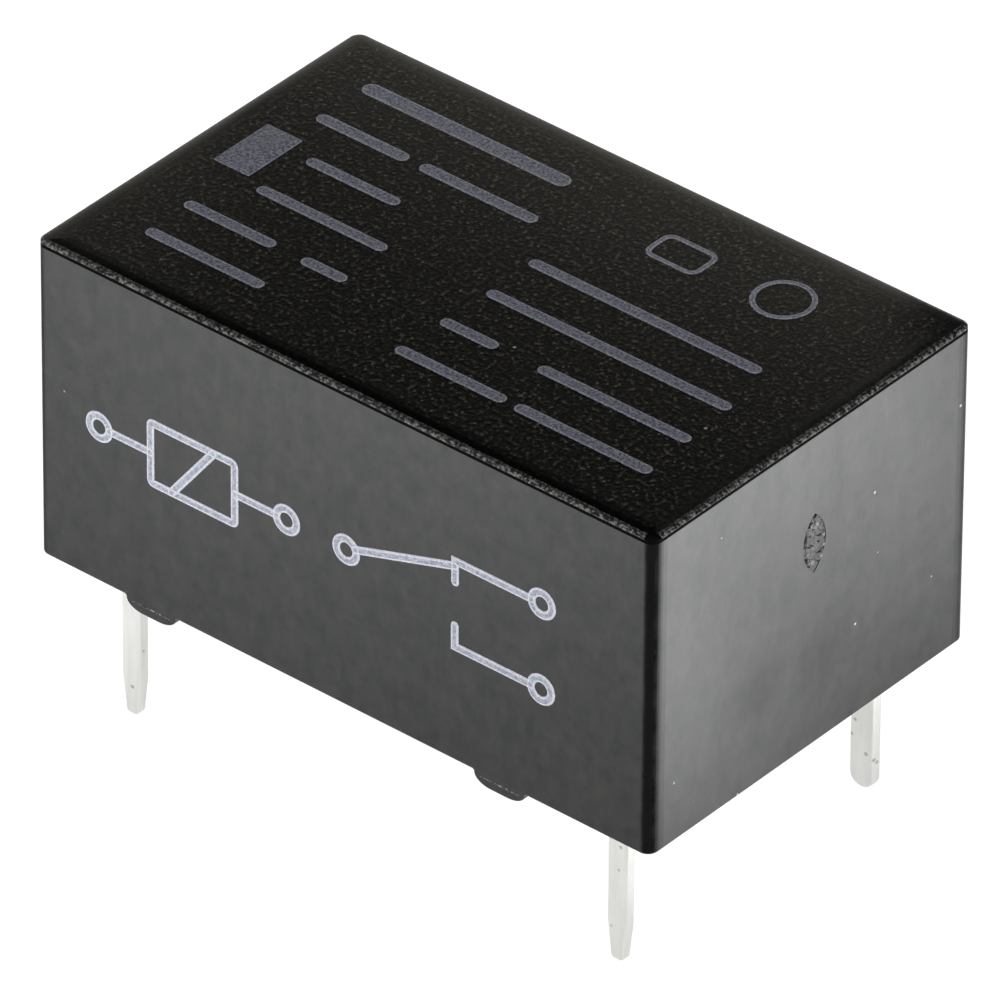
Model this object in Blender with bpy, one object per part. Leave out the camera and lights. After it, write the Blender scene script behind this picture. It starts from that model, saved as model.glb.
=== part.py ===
"""Sealed miniature changeover relay with five pins for a circuit board.

The frame: X runs along the body, towards the end with the gate mark, -Y is the
front wall, +Z is up. Z = 0 is the plane of the pin tips and the body is centred on
X and Y. A black cover closes over a moulded base, and a layer of resin seals the
mouth. Inside, a flat armature swings in the middle of the coil between two pole
pieces, and a plastic card carries its movement to a leaf spring with twin contacts.
"""

import math

import bmesh
import bpy
from mathutils import Matrix, Vector

MM = 0.001

# Cover
COVER_LENGTH = 15.9 * MM
COVER_WIDTH = 9.8 * MM
COVER_HEIGHT = 7.6 * MM
COVER_WALL = 0.5 * MM
COVER_TOP_THICKNESS = 0.6 * MM
COVER_CORNER_RADIUS = 0.25 * MM
COVER_TOP_EDGE_RADIUS = 0.13 * MM
POCKET_CORNER_RADIUS = 0.12 * MM

# Stand-off feet, flush with the long walls
FOOT_HEIGHT = 0.3 * MM
FOOT_LENGTH = 1.3 * MM
FOOT_CORNER_RADIUS = 0.27 * MM
FOOT_FROM_LEFT_END = 2.97 * MM
FOOT_FROM_RIGHT_END = 3.85 * MM

# Gate mark on the +X end
GATE_WIDTH = 0.7 * MM
GATE_HEIGHT = 1.28 * MM
GATE_DEPTH = 0.05 * MM
GATE_BELOW_TOP = 2.69 * MM

# Pins; these insets put them on a 2.54 mm grid
PIN_END_INSET = 1.6 * MM
PIN_ROW_INSET = 1.09 * MM
OPEN_TO_CLOSED_PIN = 5.08 * MM
PIN_LENGTH = 3.5 * MM
PIN_THICKNESS = 0.25 * MM
COIL_PIN_WIDTH = 0.5 * MM
COIL_PIN_TIP_WIDTH = 0.32 * MM
COIL_PIN_TAPER = 0.9 * MM
COIL_PIN_TIP_RADIUS = 0.1 * MM
CONTACT_PIN_WIDTH = 0.6 * MM
PIN_EDGE_RADIUS = 0.045 * MM

# Seats and slots
SEAT_GAP = 0.02 * MM
SLOT_CLEARANCE = 0.05 * MM
ROOT_OVERLAP = 0.2 * MM

# Base and resin
RESIN_RECESS = 0.1 * MM
RESIN_THICKNESS = 0.3 * MM
BASE_THICKNESS = 1.0 * MM
MOUTH_CLEARANCE = 0.03 * MM
BARRIER_THICKNESS = 0.3 * MM
BARRIER_TO_BLADE = 0.2 * MM
BARRIER_TO_YOKE = 0.28 * MM
BARRIER_END_CLEARANCE = 0.35 * MM
CRADLE_HEIGHT = 0.3 * MM

# Bobbin
BOBBIN_FLANGE_THICKNESS = 0.6 * MM
BOBBIN_FLANGE_RADIUS = 0.35 * MM
BOBBIN_TUBE_WALL = 0.4 * MM
BOBBIN_WALL_CLEARANCE = 0.1 * MM
BOBBIN_CEILING_CLEARANCE = 0.16 * MM
BORE_SIDE_CLEARANCE = 0.22 * MM
BORE_HEIGHT_CLEARANCE = 0.15 * MM
BORE_RADIUS = 0.15 * MM
TUBE_RADIUS = 0.5 * MM
LEAD_NOTCH_SIZE = 0.75 * MM
LUG_THICKNESS = 0.8 * MM
LUG_WIDTH = 1.5 * MM
LUG_PLAY = 0.05 * MM

# Winding
WIRE_PITCH = 0.25 * MM
WIRE_RIDGE = 0.06 * MM
WINDING_BELOW_FLANGE = 0.3 * MM
WINDING_RADIUS = 1.1 * MM
LEAD_DIAMETER = 0.1 * MM
LEAD_TURNS = 3
LEAD_TURN_PITCH = 0.14 * MM
LEAD_WRAP_GAP = 0.02 * MM

# Armature and its pivot
ARMATURE_THICKNESS = 0.5 * MM
ARMATURE_HEIGHT = 1.6 * MM
ARMATURE_TRAVEL = math.radians(1.6)
ARMATURE_TIP_TO_COVER = 0.5 * MM
ARMATURE_TIP_OVERHANG = 0.25 * MM
ARMATURE_TAB_LENGTH = 0.7 * MM
ARMATURE_TAB_ABOVE_CARD = 0.3 * MM
ARMATURE_EYE_RADIUS = 0.5 * MM
PIVOT_DIAMETER = 0.5 * MM
PIVOT_CLEARANCE = 0.03 * MM
PIVOT_TO_FLANGE = 0.95 * MM
PIVOT_EDGE = 0.06 * MM
PIVOT_FACETS = 24

# Iron circuit
YOKE_THICKNESS = 0.5 * MM
YOKE_TO_BOBBIN = 0.12 * MM
YOKE_TO_EYE = 0.07 * MM
YOKE_TO_COVER = 0.53 * MM
IRON_TO_COIL_POST = 0.6 * MM
YOKE_BEND_RADIUS = 0.45 * MM
POLE_THICKNESS = 0.6 * MM
POLE_LENGTH = 1.2 * MM
POLE_FOOT_HEIGHT = 0.6 * MM
POLE_TO_FLANGE = 0.2 * MM
POLE_FACE_CLEARANCE = 0.02 * MM
RESIDUAL_THICKNESS = 0.08 * MM
MAGNET_TO_ARMATURE = 0.25 * MM

# Contacts
LEAF_THICKNESS = 0.1 * MM
LEAF_WIDTH = 1.5 * MM
LEAF_ROOT_LENGTH = 0.8 * MM
LEAF_ROOT_EXTRA = 0.2 * MM
LEAF_TAB_WIDTH = 0.4 * MM
LEAF_TIP_MARGIN = 0.25 * MM
LEAF_TAB_MARGIN = 0.05 * MM
LEAF_BELOW_COIL_AXIS = 0.2 * MM
LEAF_SLOT_WIDTH = 0.2 * MM
LEAF_SLOT_LENGTH = 4.6 * MM
LEAF_SLOT_TO_TIP = 0.9 * MM
CONTACT_TO_TIP = 1.3 * MM
MOVING_CONTACT_HEIGHT = 0.18 * MM
MOVING_CONTACT_WIDTH = 0.36 * MM
MOVING_CONTACT_LENGTH = 0.55 * MM
FIXED_CONTACT_HEIGHT = 0.15 * MM
FIXED_CONTACT_WIDTH = 0.32 * MM
FIXED_CONTACT_MARGIN = 0.05 * MM
OPEN_CONTACT_GAP = 0.33 * MM
CLOSED_CONTACT_GAP = 0.02 * MM
BLADE_END_MARGIN = 0.5 * MM
TERMINAL_STEP_HEIGHT = 0.25 * MM
TERMINAL_FOOT_WIDTH = 1.0 * MM
COMMON_BLADE_WIDTH = 0.9 * MM
COMMON_BLADE_OVERHANG = 0.2 * MM
COIL_POST_HEIGHT = 1.2 * MM
COIL_SHOULDER_WIDTH = 0.9 * MM
COIL_SHOULDER_HEIGHT = 0.3 * MM

# Card
CARD_THICKNESS = 0.6 * MM
CARD_ABOVE_YOKE = 0.4 * MM
CARD_HUB_MARGIN = 0.4 * MM
CARD_ARM_WIDTH = 1.2 * MM
CARD_HEAD_MARGIN = 0.5 * MM
CARD_TAB_FIT = 0.03 * MM
CARD_SPRING_FIT = 0.06 * MM
CARD_SLIDE = 0.2 * MM

# Levels above the pin tips
FEET_Z = PIN_LENGTH
RIM_Z = FEET_Z + FOOT_HEIGHT
TOP_Z = RIM_Z + COVER_HEIGHT
CEILING_Z = TOP_Z - COVER_TOP_THICKNESS
RESIN_Z = RIM_Z + RESIN_RECESS
PIN_ROUNDED_TO_Z = RESIN_Z + RESIN_THICKNESS / 2
BASE_Z = RESIN_Z + RESIN_THICKNESS + SEAT_GAP
BASE_TOP_Z = BASE_Z + BASE_THICKNESS
SEAT_Z = BASE_TOP_Z + SEAT_GAP

# Inside of the cover, and the pins under it
INSIDE_X = COVER_LENGTH / 2 - COVER_WALL
INSIDE_Y = COVER_WIDTH / 2 - COVER_WALL
PIN_X_END = COVER_LENGTH / 2 - PIN_END_INSET
PIN_X_MIDDLE = -PIN_X_END + OPEN_TO_CLOSED_PIN
PIN_Y = COVER_WIDTH / 2 - PIN_ROW_INSET
FOOT_CENTRES = (FOOT_FROM_LEFT_END - COVER_LENGTH / 2, COVER_LENGTH / 2 - FOOT_FROM_RIGHT_END)

# Places along the body, from the armature's tip to the yoke's bent end
ARMATURE_TIP_X = ARMATURE_TIP_TO_COVER - INSIDE_X
POLE_X = (ARMATURE_TIP_X + ARMATURE_TIP_OVERHANG,
          ARMATURE_TIP_X + ARMATURE_TIP_OVERHANG + POLE_LENGTH)
YOKE_END_X = INSIDE_X - YOKE_TO_COVER - YOKE_THICKNESS
PIVOT_X = YOKE_END_X - YOKE_TO_EYE - ARMATURE_EYE_RADIUS
FLANGE_X = (POLE_X[1] + POLE_TO_FLANGE, PIVOT_X - PIVOT_TO_FLANGE)
WINDING_X = (FLANGE_X[0] + BOBBIN_FLANGE_THICKNESS, FLANGE_X[1] - BOBBIN_FLANGE_THICKNESS)
TIP_TRAVEL = (PIVOT_X - ARMATURE_TIP_X) * math.sin(ARMATURE_TRAVEL)

# Contacts, counted forward from the straight normally open blank
LEAF_Y = (PIN_Y - PIN_THICKNESS / 2 - FIXED_CONTACT_HEIGHT - OPEN_CONTACT_GAP
          - MOVING_CONTACT_HEIGHT - LEAF_THICKNESS / 2 - 2 * SEAT_GAP)
CLOSED_BLADE_Y = (LEAF_Y - LEAF_THICKNESS / 2 - MOVING_CONTACT_HEIGHT - CLOSED_CONTACT_GAP
                  - FIXED_CONTACT_HEIGHT - 2 * SEAT_GAP - PIN_THICKNESS)
COMMON_BLADE_Y = LEAF_Y + LEAF_THICKNESS / 2 + SEAT_GAP

# Wall, yoke and bobbin, counted forward from the contacts to the front wall
BARRIER_Y = CLOSED_BLADE_Y - BARRIER_TO_BLADE - BARRIER_THICKNESS
YOKE_Y = BARRIER_Y - BARRIER_TO_YOKE - YOKE_THICKNESS
BOBBIN_FRONT_Y = BOBBIN_WALL_CLEARANCE - INSIDE_Y
BOBBIN_WIDTH = YOKE_Y - YOKE_TO_BOBBIN - BOBBIN_FRONT_Y
BOBBIN_Y = BOBBIN_FRONT_Y + BOBBIN_WIDTH / 2
BOBBIN_Z = BASE_TOP_Z + CRADLE_HEIGHT + SEAT_GAP
BOBBIN_HEIGHT = CEILING_Z - BOBBIN_CEILING_CLEARANCE - BOBBIN_Z
COIL_Z = BOBBIN_Z + BOBBIN_HEIGHT / 2

# Armature, its bore and the pole pieces beside its tip
ARMATURE_Y = BOBBIN_Y - TIP_TRAVEL / 2
ARMATURE_Z = (COIL_Z - ARMATURE_HEIGHT / 2, COIL_Z + ARMATURE_HEIGHT / 2)
BORE_WIDTH = ARMATURE_THICKNESS + TIP_TRAVEL + 2 * BORE_SIDE_CLEARANCE
BORE_HEIGHT = ARMATURE_HEIGHT + 2 * BORE_HEIGHT_CLEARANCE
YOKE_TOP_Z = ARMATURE_Z[1]
FRONT_POLE_Y = ARMATURE_Y - ARMATURE_THICKNESS / 2 - POLE_FACE_CLEARANCE
RESIDUAL_Y = ARMATURE_Y + ARMATURE_THICKNESS / 2 + TIP_TRAVEL + POLE_FACE_CLEARANCE
REAR_POLE_Y = RESIDUAL_Y + RESIDUAL_THICKNESS + SEAT_GAP
IRON_FRONT_Y = IRON_TO_COIL_POST - PIN_Y

# Leaf spring and its contacts, along the body and in height
LEAF_ROOT_X = PIN_X_END + CONTACT_PIN_WIDTH / 2 + COMMON_BLADE_OVERHANG - COMMON_BLADE_WIDTH
LEAF_TIP_X = ARMATURE_TIP_X + LEAF_TIP_MARGIN
LEAF_MIDDLE_Z = COIL_Z - LEAF_BELOW_COIL_AXIS
LEAF_Z = (LEAF_MIDDLE_Z - LEAF_WIDTH / 2, LEAF_MIDDLE_Z + LEAF_WIDTH / 2)
CONTACT_X = LEAF_TIP_X + CONTACT_TO_TIP
FINGER_WIDTH = (LEAF_WIDTH - LEAF_SLOT_WIDTH) / 2
FINGER_Z = (LEAF_Z[0] + FINGER_WIDTH / 2, LEAF_Z[1] - FINGER_WIDTH / 2)

# Card
CARD_Z = YOKE_TOP_Z + CARD_ABOVE_YOKE
TAB_X = (ARMATURE_TIP_X, ARMATURE_TIP_X + ARMATURE_TAB_LENGTH)
TAB_TOP_Z = CARD_Z + CARD_THICKNESS + ARMATURE_TAB_ABOVE_CARD

ARMATURE_AXIS = Vector((PIVOT_X, ARMATURE_Y, COIL_Z))
SPRING_AXIS = Vector((LEAF_ROOT_X, LEAF_Y, COIL_Z))

# Name, place in plan and width of each pin
PINS = (
    ("coil_left", -PIN_X_END, -PIN_Y, COIL_PIN_WIDTH),
    ("coil_right", PIN_X_END, -PIN_Y, COIL_PIN_WIDTH),
    ("common", PIN_X_END, PIN_Y, CONTACT_PIN_WIDTH),
    ("closed", PIN_X_MIDDLE, PIN_Y, CONTACT_PIN_WIDTH),
    ("open", -PIN_X_END, PIN_Y, CONTACT_PIN_WIDTH),
)

# Colour, roughness and metallic value of each material
MATERIALS = {
    "cover_plastic": ((0.012, 0.012, 0.013), 0.42, 0.0),
    "base_plastic": ((0.016, 0.016, 0.018), 0.5, 0.0),
    "resin": ((0.02, 0.02, 0.022), 0.25, 0.0),
    "bobbin_plastic": ((0.62, 0.6, 0.54), 0.5, 0.0),
    "card_plastic": ((0.75, 0.74, 0.7), 0.5, 0.0),
    "tinned_copper": ((0.78, 0.78, 0.76), 0.35, 1.0),
    "enamelled_wire": ((0.55, 0.2, 0.06), 0.3, 0.6),
    "soft_iron": ((0.5, 0.49, 0.47), 0.4, 1.0),
    "steel_pin": ((0.6, 0.6, 0.6), 0.25, 1.0),
    "magnet": ((0.16, 0.16, 0.17), 0.45, 0.6),
    "shim_metal": ((0.7, 0.6, 0.42), 0.35, 1.0),
    "spring_alloy": ((0.78, 0.5, 0.26), 0.3, 1.0),
    "silver_contact": ((0.86, 0.85, 0.82), 0.28, 1.0),
}


def clear_scene():
    """Remove every object that the new file holds."""
    for item in list(bpy.data.objects):
        bpy.data.objects.remove(item, do_unlink=True)


def material(name):
    """Return the named Principled material, made on its first use."""
    found = bpy.data.materials.get(name)
    if found:
        return found
    colour, roughness, metallic = MATERIALS[name]
    made = bpy.data.materials.new(name)
    made.use_nodes = True
    shader = made.node_tree.nodes["Principled BSDF"]
    shader.inputs["Base Color"].default_value = (*colour, 1.0)
    shader.inputs["Roughness"].default_value = roughness
    shader.inputs["Metallic"].default_value = metallic
    made.diffuse_color = (*colour, 1.0)
    return made


def arc(centre, radius, start, end, steps):
    """Points of an arc, with both of its ends; the angles are in degrees."""
    points = []
    for step in range(steps + 1):
        angle = math.radians(start + (end - start) * step / steps)
        points.append((centre[0] + radius * math.cos(angle),
                       centre[1] + radius * math.sin(angle)))
    return points


def rounded_rectangle(width, height, radius, steps=4):
    """Outline of a rectangle with round corners, centred on the origin."""
    points = []
    corners = ((1, -1, -90), (1, 1, 0), (-1, 1, 90), (-1, -1, 180))
    for side_x, side_y, start in corners:
        centre = (side_x * (width / 2 - radius), side_y * (height / 2 - radius))
        points += arc(centre, radius, start, start + 90, steps)
    return points


def rectangle(low, high):
    """Outline of a rectangle between two corners."""
    return [(low[0], low[1]), (high[0], low[1]), (high[0], high[1]), (low[0], high[1])]


def moved(outline, offset):
    """The outline, shifted in its own plane."""
    return [(x + offset[0], y + offset[1]) for x, y in outline]


def place(point, level, axis):
    """Put a point of an outline at a level along X, Y or Z."""
    first, second = point
    if axis == "X":
        return (level, first, second)
    if axis == "Y":
        return (first, level, second)
    return (first, second, level)


def object_from(name, bm, material_name=None):
    """Turn a bmesh into an object with outward faces."""
    bmesh.ops.recalc_face_normals(bm, faces=bm.faces[:])
    mesh = bpy.data.meshes.new(name)
    bm.to_mesh(mesh)
    bm.free()
    made = bpy.data.objects.new(name, mesh)
    bpy.context.scene.collection.objects.link(made)
    if material_name:
        mesh.materials.append(material(material_name))
    return made


def loft(name, rings, material_name=None, closed=False):
    """Join equal rings of points into a skin, with end caps or back to the first."""
    bm = bmesh.new()
    loops = [[bm.verts.new(point) for point in ring] for ring in rings]
    count = len(loops[0])
    last = len(loops) if closed else len(loops) - 1
    for index in range(last):
        here = loops[index]
        there = loops[(index + 1) % len(loops)]
        for step in range(count):
            following = (step + 1) % count
            bm.faces.new((here[step], here[following], there[following], there[step]))
    if not closed:
        bm.faces.new(loops[0])
        bm.faces.new(loops[-1])
    return object_from(name, bm, material_name)


def prism(name, outline, axis, low, high, material_name=None):
    """Extrude an outline along X, Y or Z between two levels."""
    rings = [[place(point, level, axis) for point in outline] for level in (low, high)]
    return loft(name, rings, material_name)


def combine(target, tool, operation):
    """Apply a Boolean of the tool to the target, and remove the tool."""
    modifier = target.modifiers.new("combine", "BOOLEAN")
    modifier.operation = operation
    modifier.solver = "EXACT"
    modifier.object = tool
    depsgraph = bpy.context.evaluated_depsgraph_get()
    result = bpy.data.meshes.new_from_object(target.evaluated_get(depsgraph))
    target.modifiers.clear()
    old = target.data
    target.data = result
    result.name = target.name
    bpy.data.meshes.remove(old)
    bpy.data.objects.remove(tool, do_unlink=True)
    return target


def cut(target, tool):
    """Take the tool's volume away from the target."""
    return combine(target, tool, "DIFFERENCE")


def join(target, tool):
    """Add the tool's volume to the target."""
    return combine(target, tool, "UNION")


def smooth(item, angle=35):
    """Shade smooth across edges that are flatter than the angle."""
    item.data.shade_smooth()
    item.data.set_sharp_from_angle(angle=math.radians(angle))


def set_origin(item, origin):
    """Put the object's origin at a point, with its shape where it is."""
    item.data.transform(Matrix.Translation(-Vector(origin)))
    item.location = origin


def pin_slots():
    """Plan outlines of the openings for the five pins, as (name, outline)."""
    slots = []
    for name, x, y, width in PINS:
        size = (width / 2 + SLOT_CLEARANCE, PIN_THICKNESS / 2 + SLOT_CLEARANCE)
        slots.append((name, rectangle((x - size[0], y - size[1]), (x + size[0], y + size[1]))))
    return slots


def rim_silhouette():
    """Lower edge of the cover seen from the front, closed well below the feet."""
    reach = COVER_LENGTH
    outline = [(-reach, RIM_Z)]
    for centre in FOOT_CENTRES:
        left = centre - FOOT_LENGTH / 2
        right = centre + FOOT_LENGTH / 2
        level = FEET_Z + FOOT_CORNER_RADIUS
        outline.append((left, RIM_Z))
        outline += arc((left + FOOT_CORNER_RADIUS, level), FOOT_CORNER_RADIUS, 180, 270, 5)
        outline += arc((right - FOOT_CORNER_RADIUS, level), FOOT_CORNER_RADIUS, 270, 360, 5)
        outline.append((right, RIM_Z))
    outline += [(reach, RIM_Z), (reach, 0.0), (-reach, 0.0)]
    return outline


def gate_outline():
    """Lens shape made of two arcs, in the plane of the end wall."""
    half_width = GATE_WIDTH / 2
    half_height = GATE_HEIGHT / 2
    radius = (half_width ** 2 + half_height ** 2) / (2 * half_width)
    spread = math.degrees(math.asin(half_height / radius))
    level = TOP_Z - GATE_BELOW_TOP
    right = arc((half_width - radius, level), radius, -spread, spread, 8)
    left = arc((radius - half_width, level), radius, 180 - spread, 180 + spread, 8)
    return right[:-1] + left[:-1]


def build_cover():
    """Moulded cover: rounded box, open below, with feet and the gate mark."""
    rings = []
    for level in (FEET_Z - ROOT_OVERLAP, TOP_Z - COVER_TOP_EDGE_RADIUS):
        outline = rounded_rectangle(COVER_LENGTH, COVER_WIDTH, COVER_CORNER_RADIUS)
        rings.append([place(point, level, "Z") for point in outline])
    for inset, rise in arc((0.0, 0.0), COVER_TOP_EDGE_RADIUS, 0, 90, 3)[1:]:
        shrink = COVER_TOP_EDGE_RADIUS - inset
        outline = rounded_rectangle(COVER_LENGTH - 2 * shrink, COVER_WIDTH - 2 * shrink,
                                    COVER_CORNER_RADIUS - shrink)
        level = TOP_Z - COVER_TOP_EDGE_RADIUS + rise
        rings.append([place(point, level, "Z") for point in outline])
    cover = loft("cover", rings, "cover_plastic")
    pocket = rounded_rectangle(2 * INSIDE_X, 2 * INSIDE_Y, POCKET_CORNER_RADIUS, 3)
    cut(cover, prism("pocket", pocket, "Z", 0.0, CEILING_Z))
    cut(cover, prism("below_rim", rim_silhouette(), "Y", -COVER_WIDTH, COVER_WIDTH))
    face = COVER_LENGTH / 2
    cut(cover, prism("gate", gate_outline(), "X", face - GATE_DEPTH, face + GATE_DEPTH))
    smooth(cover)
    return cover


def build_base():
    """Base plate with the wall between coil and contacts and the bobbin's cradle."""
    length = 2 * (INSIDE_X - MOUTH_CLEARANCE)
    width = 2 * (INSIDE_Y - MOUTH_CLEARANCE)
    plate = rounded_rectangle(length, width, POCKET_CORNER_RADIUS, 3)
    base = prism("base", plate, "Z", BASE_Z, BASE_TOP_Z, "base_plastic")
    root_z = BASE_TOP_Z - ROOT_OVERLAP
    wall_length = 2 * (INSIDE_X - BARRIER_END_CLEARANCE)
    wall = rounded_rectangle(wall_length, BARRIER_THICKNESS, BARRIER_THICKNESS / 3, 2)
    wall = moved(wall, (0.0, BARRIER_Y + BARRIER_THICKNESS / 2))
    join(base, prism("barrier", wall, "Z", root_z, YOKE_TOP_Z))
    middles = (FLANGE_X[0] + BOBBIN_FLANGE_THICKNESS / 2, FLANGE_X[1] - BOBBIN_FLANGE_THICKNESS / 2)
    for middle in middles:
        rib = rounded_rectangle(BOBBIN_FLANGE_THICKNESS, BOBBIN_WIDTH - 2 * LEAD_NOTCH_SIZE,
                                BOBBIN_FLANGE_THICKNESS / 4, 2)
        rib = moved(rib, (middle, BOBBIN_Y))
        join(base, prism("cradle", rib, "Z", root_z, BASE_TOP_Z + CRADLE_HEIGHT))
    for name, slot in pin_slots():
        cut(base, prism(name, slot, "Z", 0.0, BASE_TOP_Z + ROOT_OVERLAP))
    return base


def build_resin():
    """Poured seal under the base, with the five pins through it."""
    length = 2 * (INSIDE_X - MOUTH_CLEARANCE)
    width = 2 * (INSIDE_Y - MOUTH_CLEARANCE)
    layer = rounded_rectangle(length, width, POCKET_CORNER_RADIUS, 3)
    resin = prism("sealing_resin", layer, "Z", RESIN_Z, RESIN_Z + RESIN_THICKNESS, "resin")
    for name, slot in pin_slots():
        cut(resin, prism(name, slot, "Z", 0.0, BASE_TOP_Z))
    return resin


def section_ring(x, width, height, radius):
    """Rounded rectangle across the coil's axis at one place along X."""
    outline = rounded_rectangle(width, height, radius)
    return [place(point, x, "X") for point in moved(outline, (BOBBIN_Y, COIL_Z))]


def build_bobbin():
    """Spool with square flanges, a flat bore and two lugs for the pivot pin."""
    tube_width = BORE_WIDTH + 2 * BOBBIN_TUBE_WALL
    tube_height = BORE_HEIGHT + 2 * BOBBIN_TUBE_WALL
    flange = (BOBBIN_WIDTH, BOBBIN_HEIGHT, BOBBIN_FLANGE_RADIUS)
    rings = []
    for x in (FLANGE_X[0], WINDING_X[0]):
        rings.append(section_ring(x, *flange))
    for x in WINDING_X:
        rings.append(section_ring(x, tube_width, tube_height, TUBE_RADIUS))
    for x in (WINDING_X[1], FLANGE_X[1]):
        rings.append(section_ring(x, *flange))
    for x in (FLANGE_X[1], FLANGE_X[0]):
        rings.append(section_ring(x, BORE_WIDTH, BORE_HEIGHT, BORE_RADIUS))
    bobbin = loft("bobbin", rings, "bobbin_plastic", closed=True)
    for low, high in lug_levels():
        lug = [(FLANGE_X[1] - ROOT_OVERLAP, ARMATURE_Y - LUG_WIDTH / 2)]
        lug += arc((PIVOT_X, ARMATURE_Y), LUG_WIDTH / 3, -90, 90, 6)
        lug.append((FLANGE_X[1] - ROOT_OVERLAP, ARMATURE_Y + LUG_WIDTH / 2))
        join(bobbin, prism("lug", lug, "Z", low, high))
    cut(bobbin, prism("pivot_hole", pivot_circle(PIVOT_CLEARANCE), "Z", 0.0, TOP_Z))
    notch = rectangle((BOBBIN_FRONT_Y - MM, BOBBIN_Z - MM),
                      (BOBBIN_FRONT_Y + LEAD_NOTCH_SIZE, BOBBIN_Z + LEAD_NOTCH_SIZE))
    cut(bobbin, prism("lead_notch", notch, "X", -COVER_LENGTH, COVER_LENGTH))
    return bobbin


def pivot_circle(extra):
    """Plan outline round the pivot's axis, larger than the pin by a clearance."""
    last = 360 - 360 / PIVOT_FACETS
    radius = PIVOT_DIAMETER / 2 + extra
    return arc((PIVOT_X, ARMATURE_Y), radius, 0, last, PIVOT_FACETS - 1)


def lug_levels():
    """Heights of the lug below and the lug above the armature's eye."""
    below = ARMATURE_Z[0] - LUG_PLAY
    above = ARMATURE_Z[1] + LUG_PLAY
    return ((below - LUG_THICKNESS, below), (above, above + LUG_THICKNESS))


def build_winding():
    """Wire pack with one ridge for each turn of its outer layer."""
    width = BOBBIN_WIDTH - 2 * WINDING_BELOW_FLANGE
    height = BOBBIN_HEIGHT - 2 * WINDING_BELOW_FLANGE
    start = WINDING_X[0] + SEAT_GAP
    length = WINDING_X[1] - SEAT_GAP - start
    turns = round(length / WIRE_PITCH)
    rings = []
    for step in range(2 * turns + 1):
        x = start + length * step / (2 * turns)
        depth = WIRE_RIDGE if step % 2 == 0 else 0.0
        rings.append(section_ring(x, width - 2 * depth, height - 2 * depth, WINDING_RADIUS - depth))
    inner_width = BORE_WIDTH + 2 * BOBBIN_TUBE_WALL + 2 * SEAT_GAP
    inner_height = BORE_HEIGHT + 2 * BOBBIN_TUBE_WALL + 2 * SEAT_GAP
    for x in (start + length, start):
        rings.append(section_ring(x, inner_width, inner_height, TUBE_RADIUS + SEAT_GAP))
    winding = loft("coil_winding", rings, "enamelled_wire", closed=True)
    smooth(winding, 60)
    return winding


def build_lead(name, side):
    """Wire end: three turns round the coil post, then through the flange's notch."""
    post_x = side * PIN_X_END
    corner = math.hypot(COIL_PIN_WIDTH / 2, PIN_THICKNESS / 2)
    radius = corner + LEAD_DIAMETER / 2 + LEAD_WRAP_GAP
    notch_y = BOBBIN_FRONT_Y + LEAD_NOTCH_SIZE / 2
    notch_z = BOBBIN_Z + LEAD_NOTCH_SIZE / 2
    start_z = SEAT_Z + COIL_SHOULDER_HEIGHT + LEAD_DIAMETER
    points = []
    steps = 12 * LEAD_TURNS
    for step in range(steps + 1):
        turn = step / 12
        angle = math.radians(90 * side) - side * 2 * math.pi * turn
        points.append(Vector((post_x + radius * math.cos(angle),
                              -PIN_Y + radius * math.sin(angle),
                              start_z + turn * LEAD_TURN_PITCH)))
    outer_x = FLANGE_X[1] if side > 0 else FLANGE_X[0]
    inner_x = WINDING_X[1] if side > 0 else WINDING_X[0]
    points.append(Vector((outer_x + side * LEAD_DIAMETER, notch_y, notch_z)))
    points.append(Vector((inner_x + side * LEAD_DIAMETER, notch_y, notch_z)))
    return wire(name, points, LEAD_DIAMETER, "enamelled_wire")


def wire(name, points, diameter, material_name):
    """Round wire along a list of points, as a capped tube."""
    curve = bpy.data.curves.new(name, "CURVE")
    curve.dimensions = "3D"
    curve.bevel_depth = diameter / 2
    curve.bevel_resolution = 1
    curve.use_fill_caps = True
    spline = curve.splines.new("POLY")
    spline.points.add(len(points) - 1)
    for target, point in zip(spline.points, points):
        target.co = (*point, 1.0)
    curve.materials.append(material(material_name))
    made = bpy.data.objects.new(name, curve)
    bpy.context.scene.collection.objects.link(made)
    return made


def build_armature():
    """Iron blade with a rolled eye at the pivot and a tab for the card."""
    half = ARMATURE_THICKNESS / 2
    neck = 180 - math.degrees(math.asin(half / ARMATURE_EYE_RADIUS))
    eye = arc((PIVOT_X, ARMATURE_Y), ARMATURE_EYE_RADIUS, -neck, neck, 20)
    blade = [(ARMATURE_TIP_X, ARMATURE_Y + half), (ARMATURE_TIP_X, ARMATURE_Y - half)]
    armature = prism("armature", blade + eye, "Z", *ARMATURE_Z, "soft_iron")
    cut(armature, prism("eye_hole", pivot_circle(PIVOT_CLEARANCE), "Z", 0.0, TOP_Z))
    tab = rectangle((TAB_X[0], ARMATURE_Y - half), (TAB_X[1], ARMATURE_Y + half))
    join(armature, prism("tab", tab, "Z", ARMATURE_Z[1] - ROOT_OVERLAP, TAB_TOP_Z))
    smooth(armature)
    set_origin(armature, ARMATURE_AXIS)
    return armature


def build_pivot_pin():
    """Turned steel pin with chamfered ends, held in the bobbin's two lugs."""
    low = lug_levels()[0][0]
    high = lug_levels()[1][1]
    stations = ((low, -PIVOT_EDGE), (low + PIVOT_EDGE, 0.0),
                (high - PIVOT_EDGE, 0.0), (high, -PIVOT_EDGE))
    rings = []
    for level, extra in stations:
        rings.append([place(point, level, "Z") for point in pivot_circle(extra)])
    pin = loft("pivot_pin", rings, "steel_pin")
    smooth(pin)
    return pin


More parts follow.
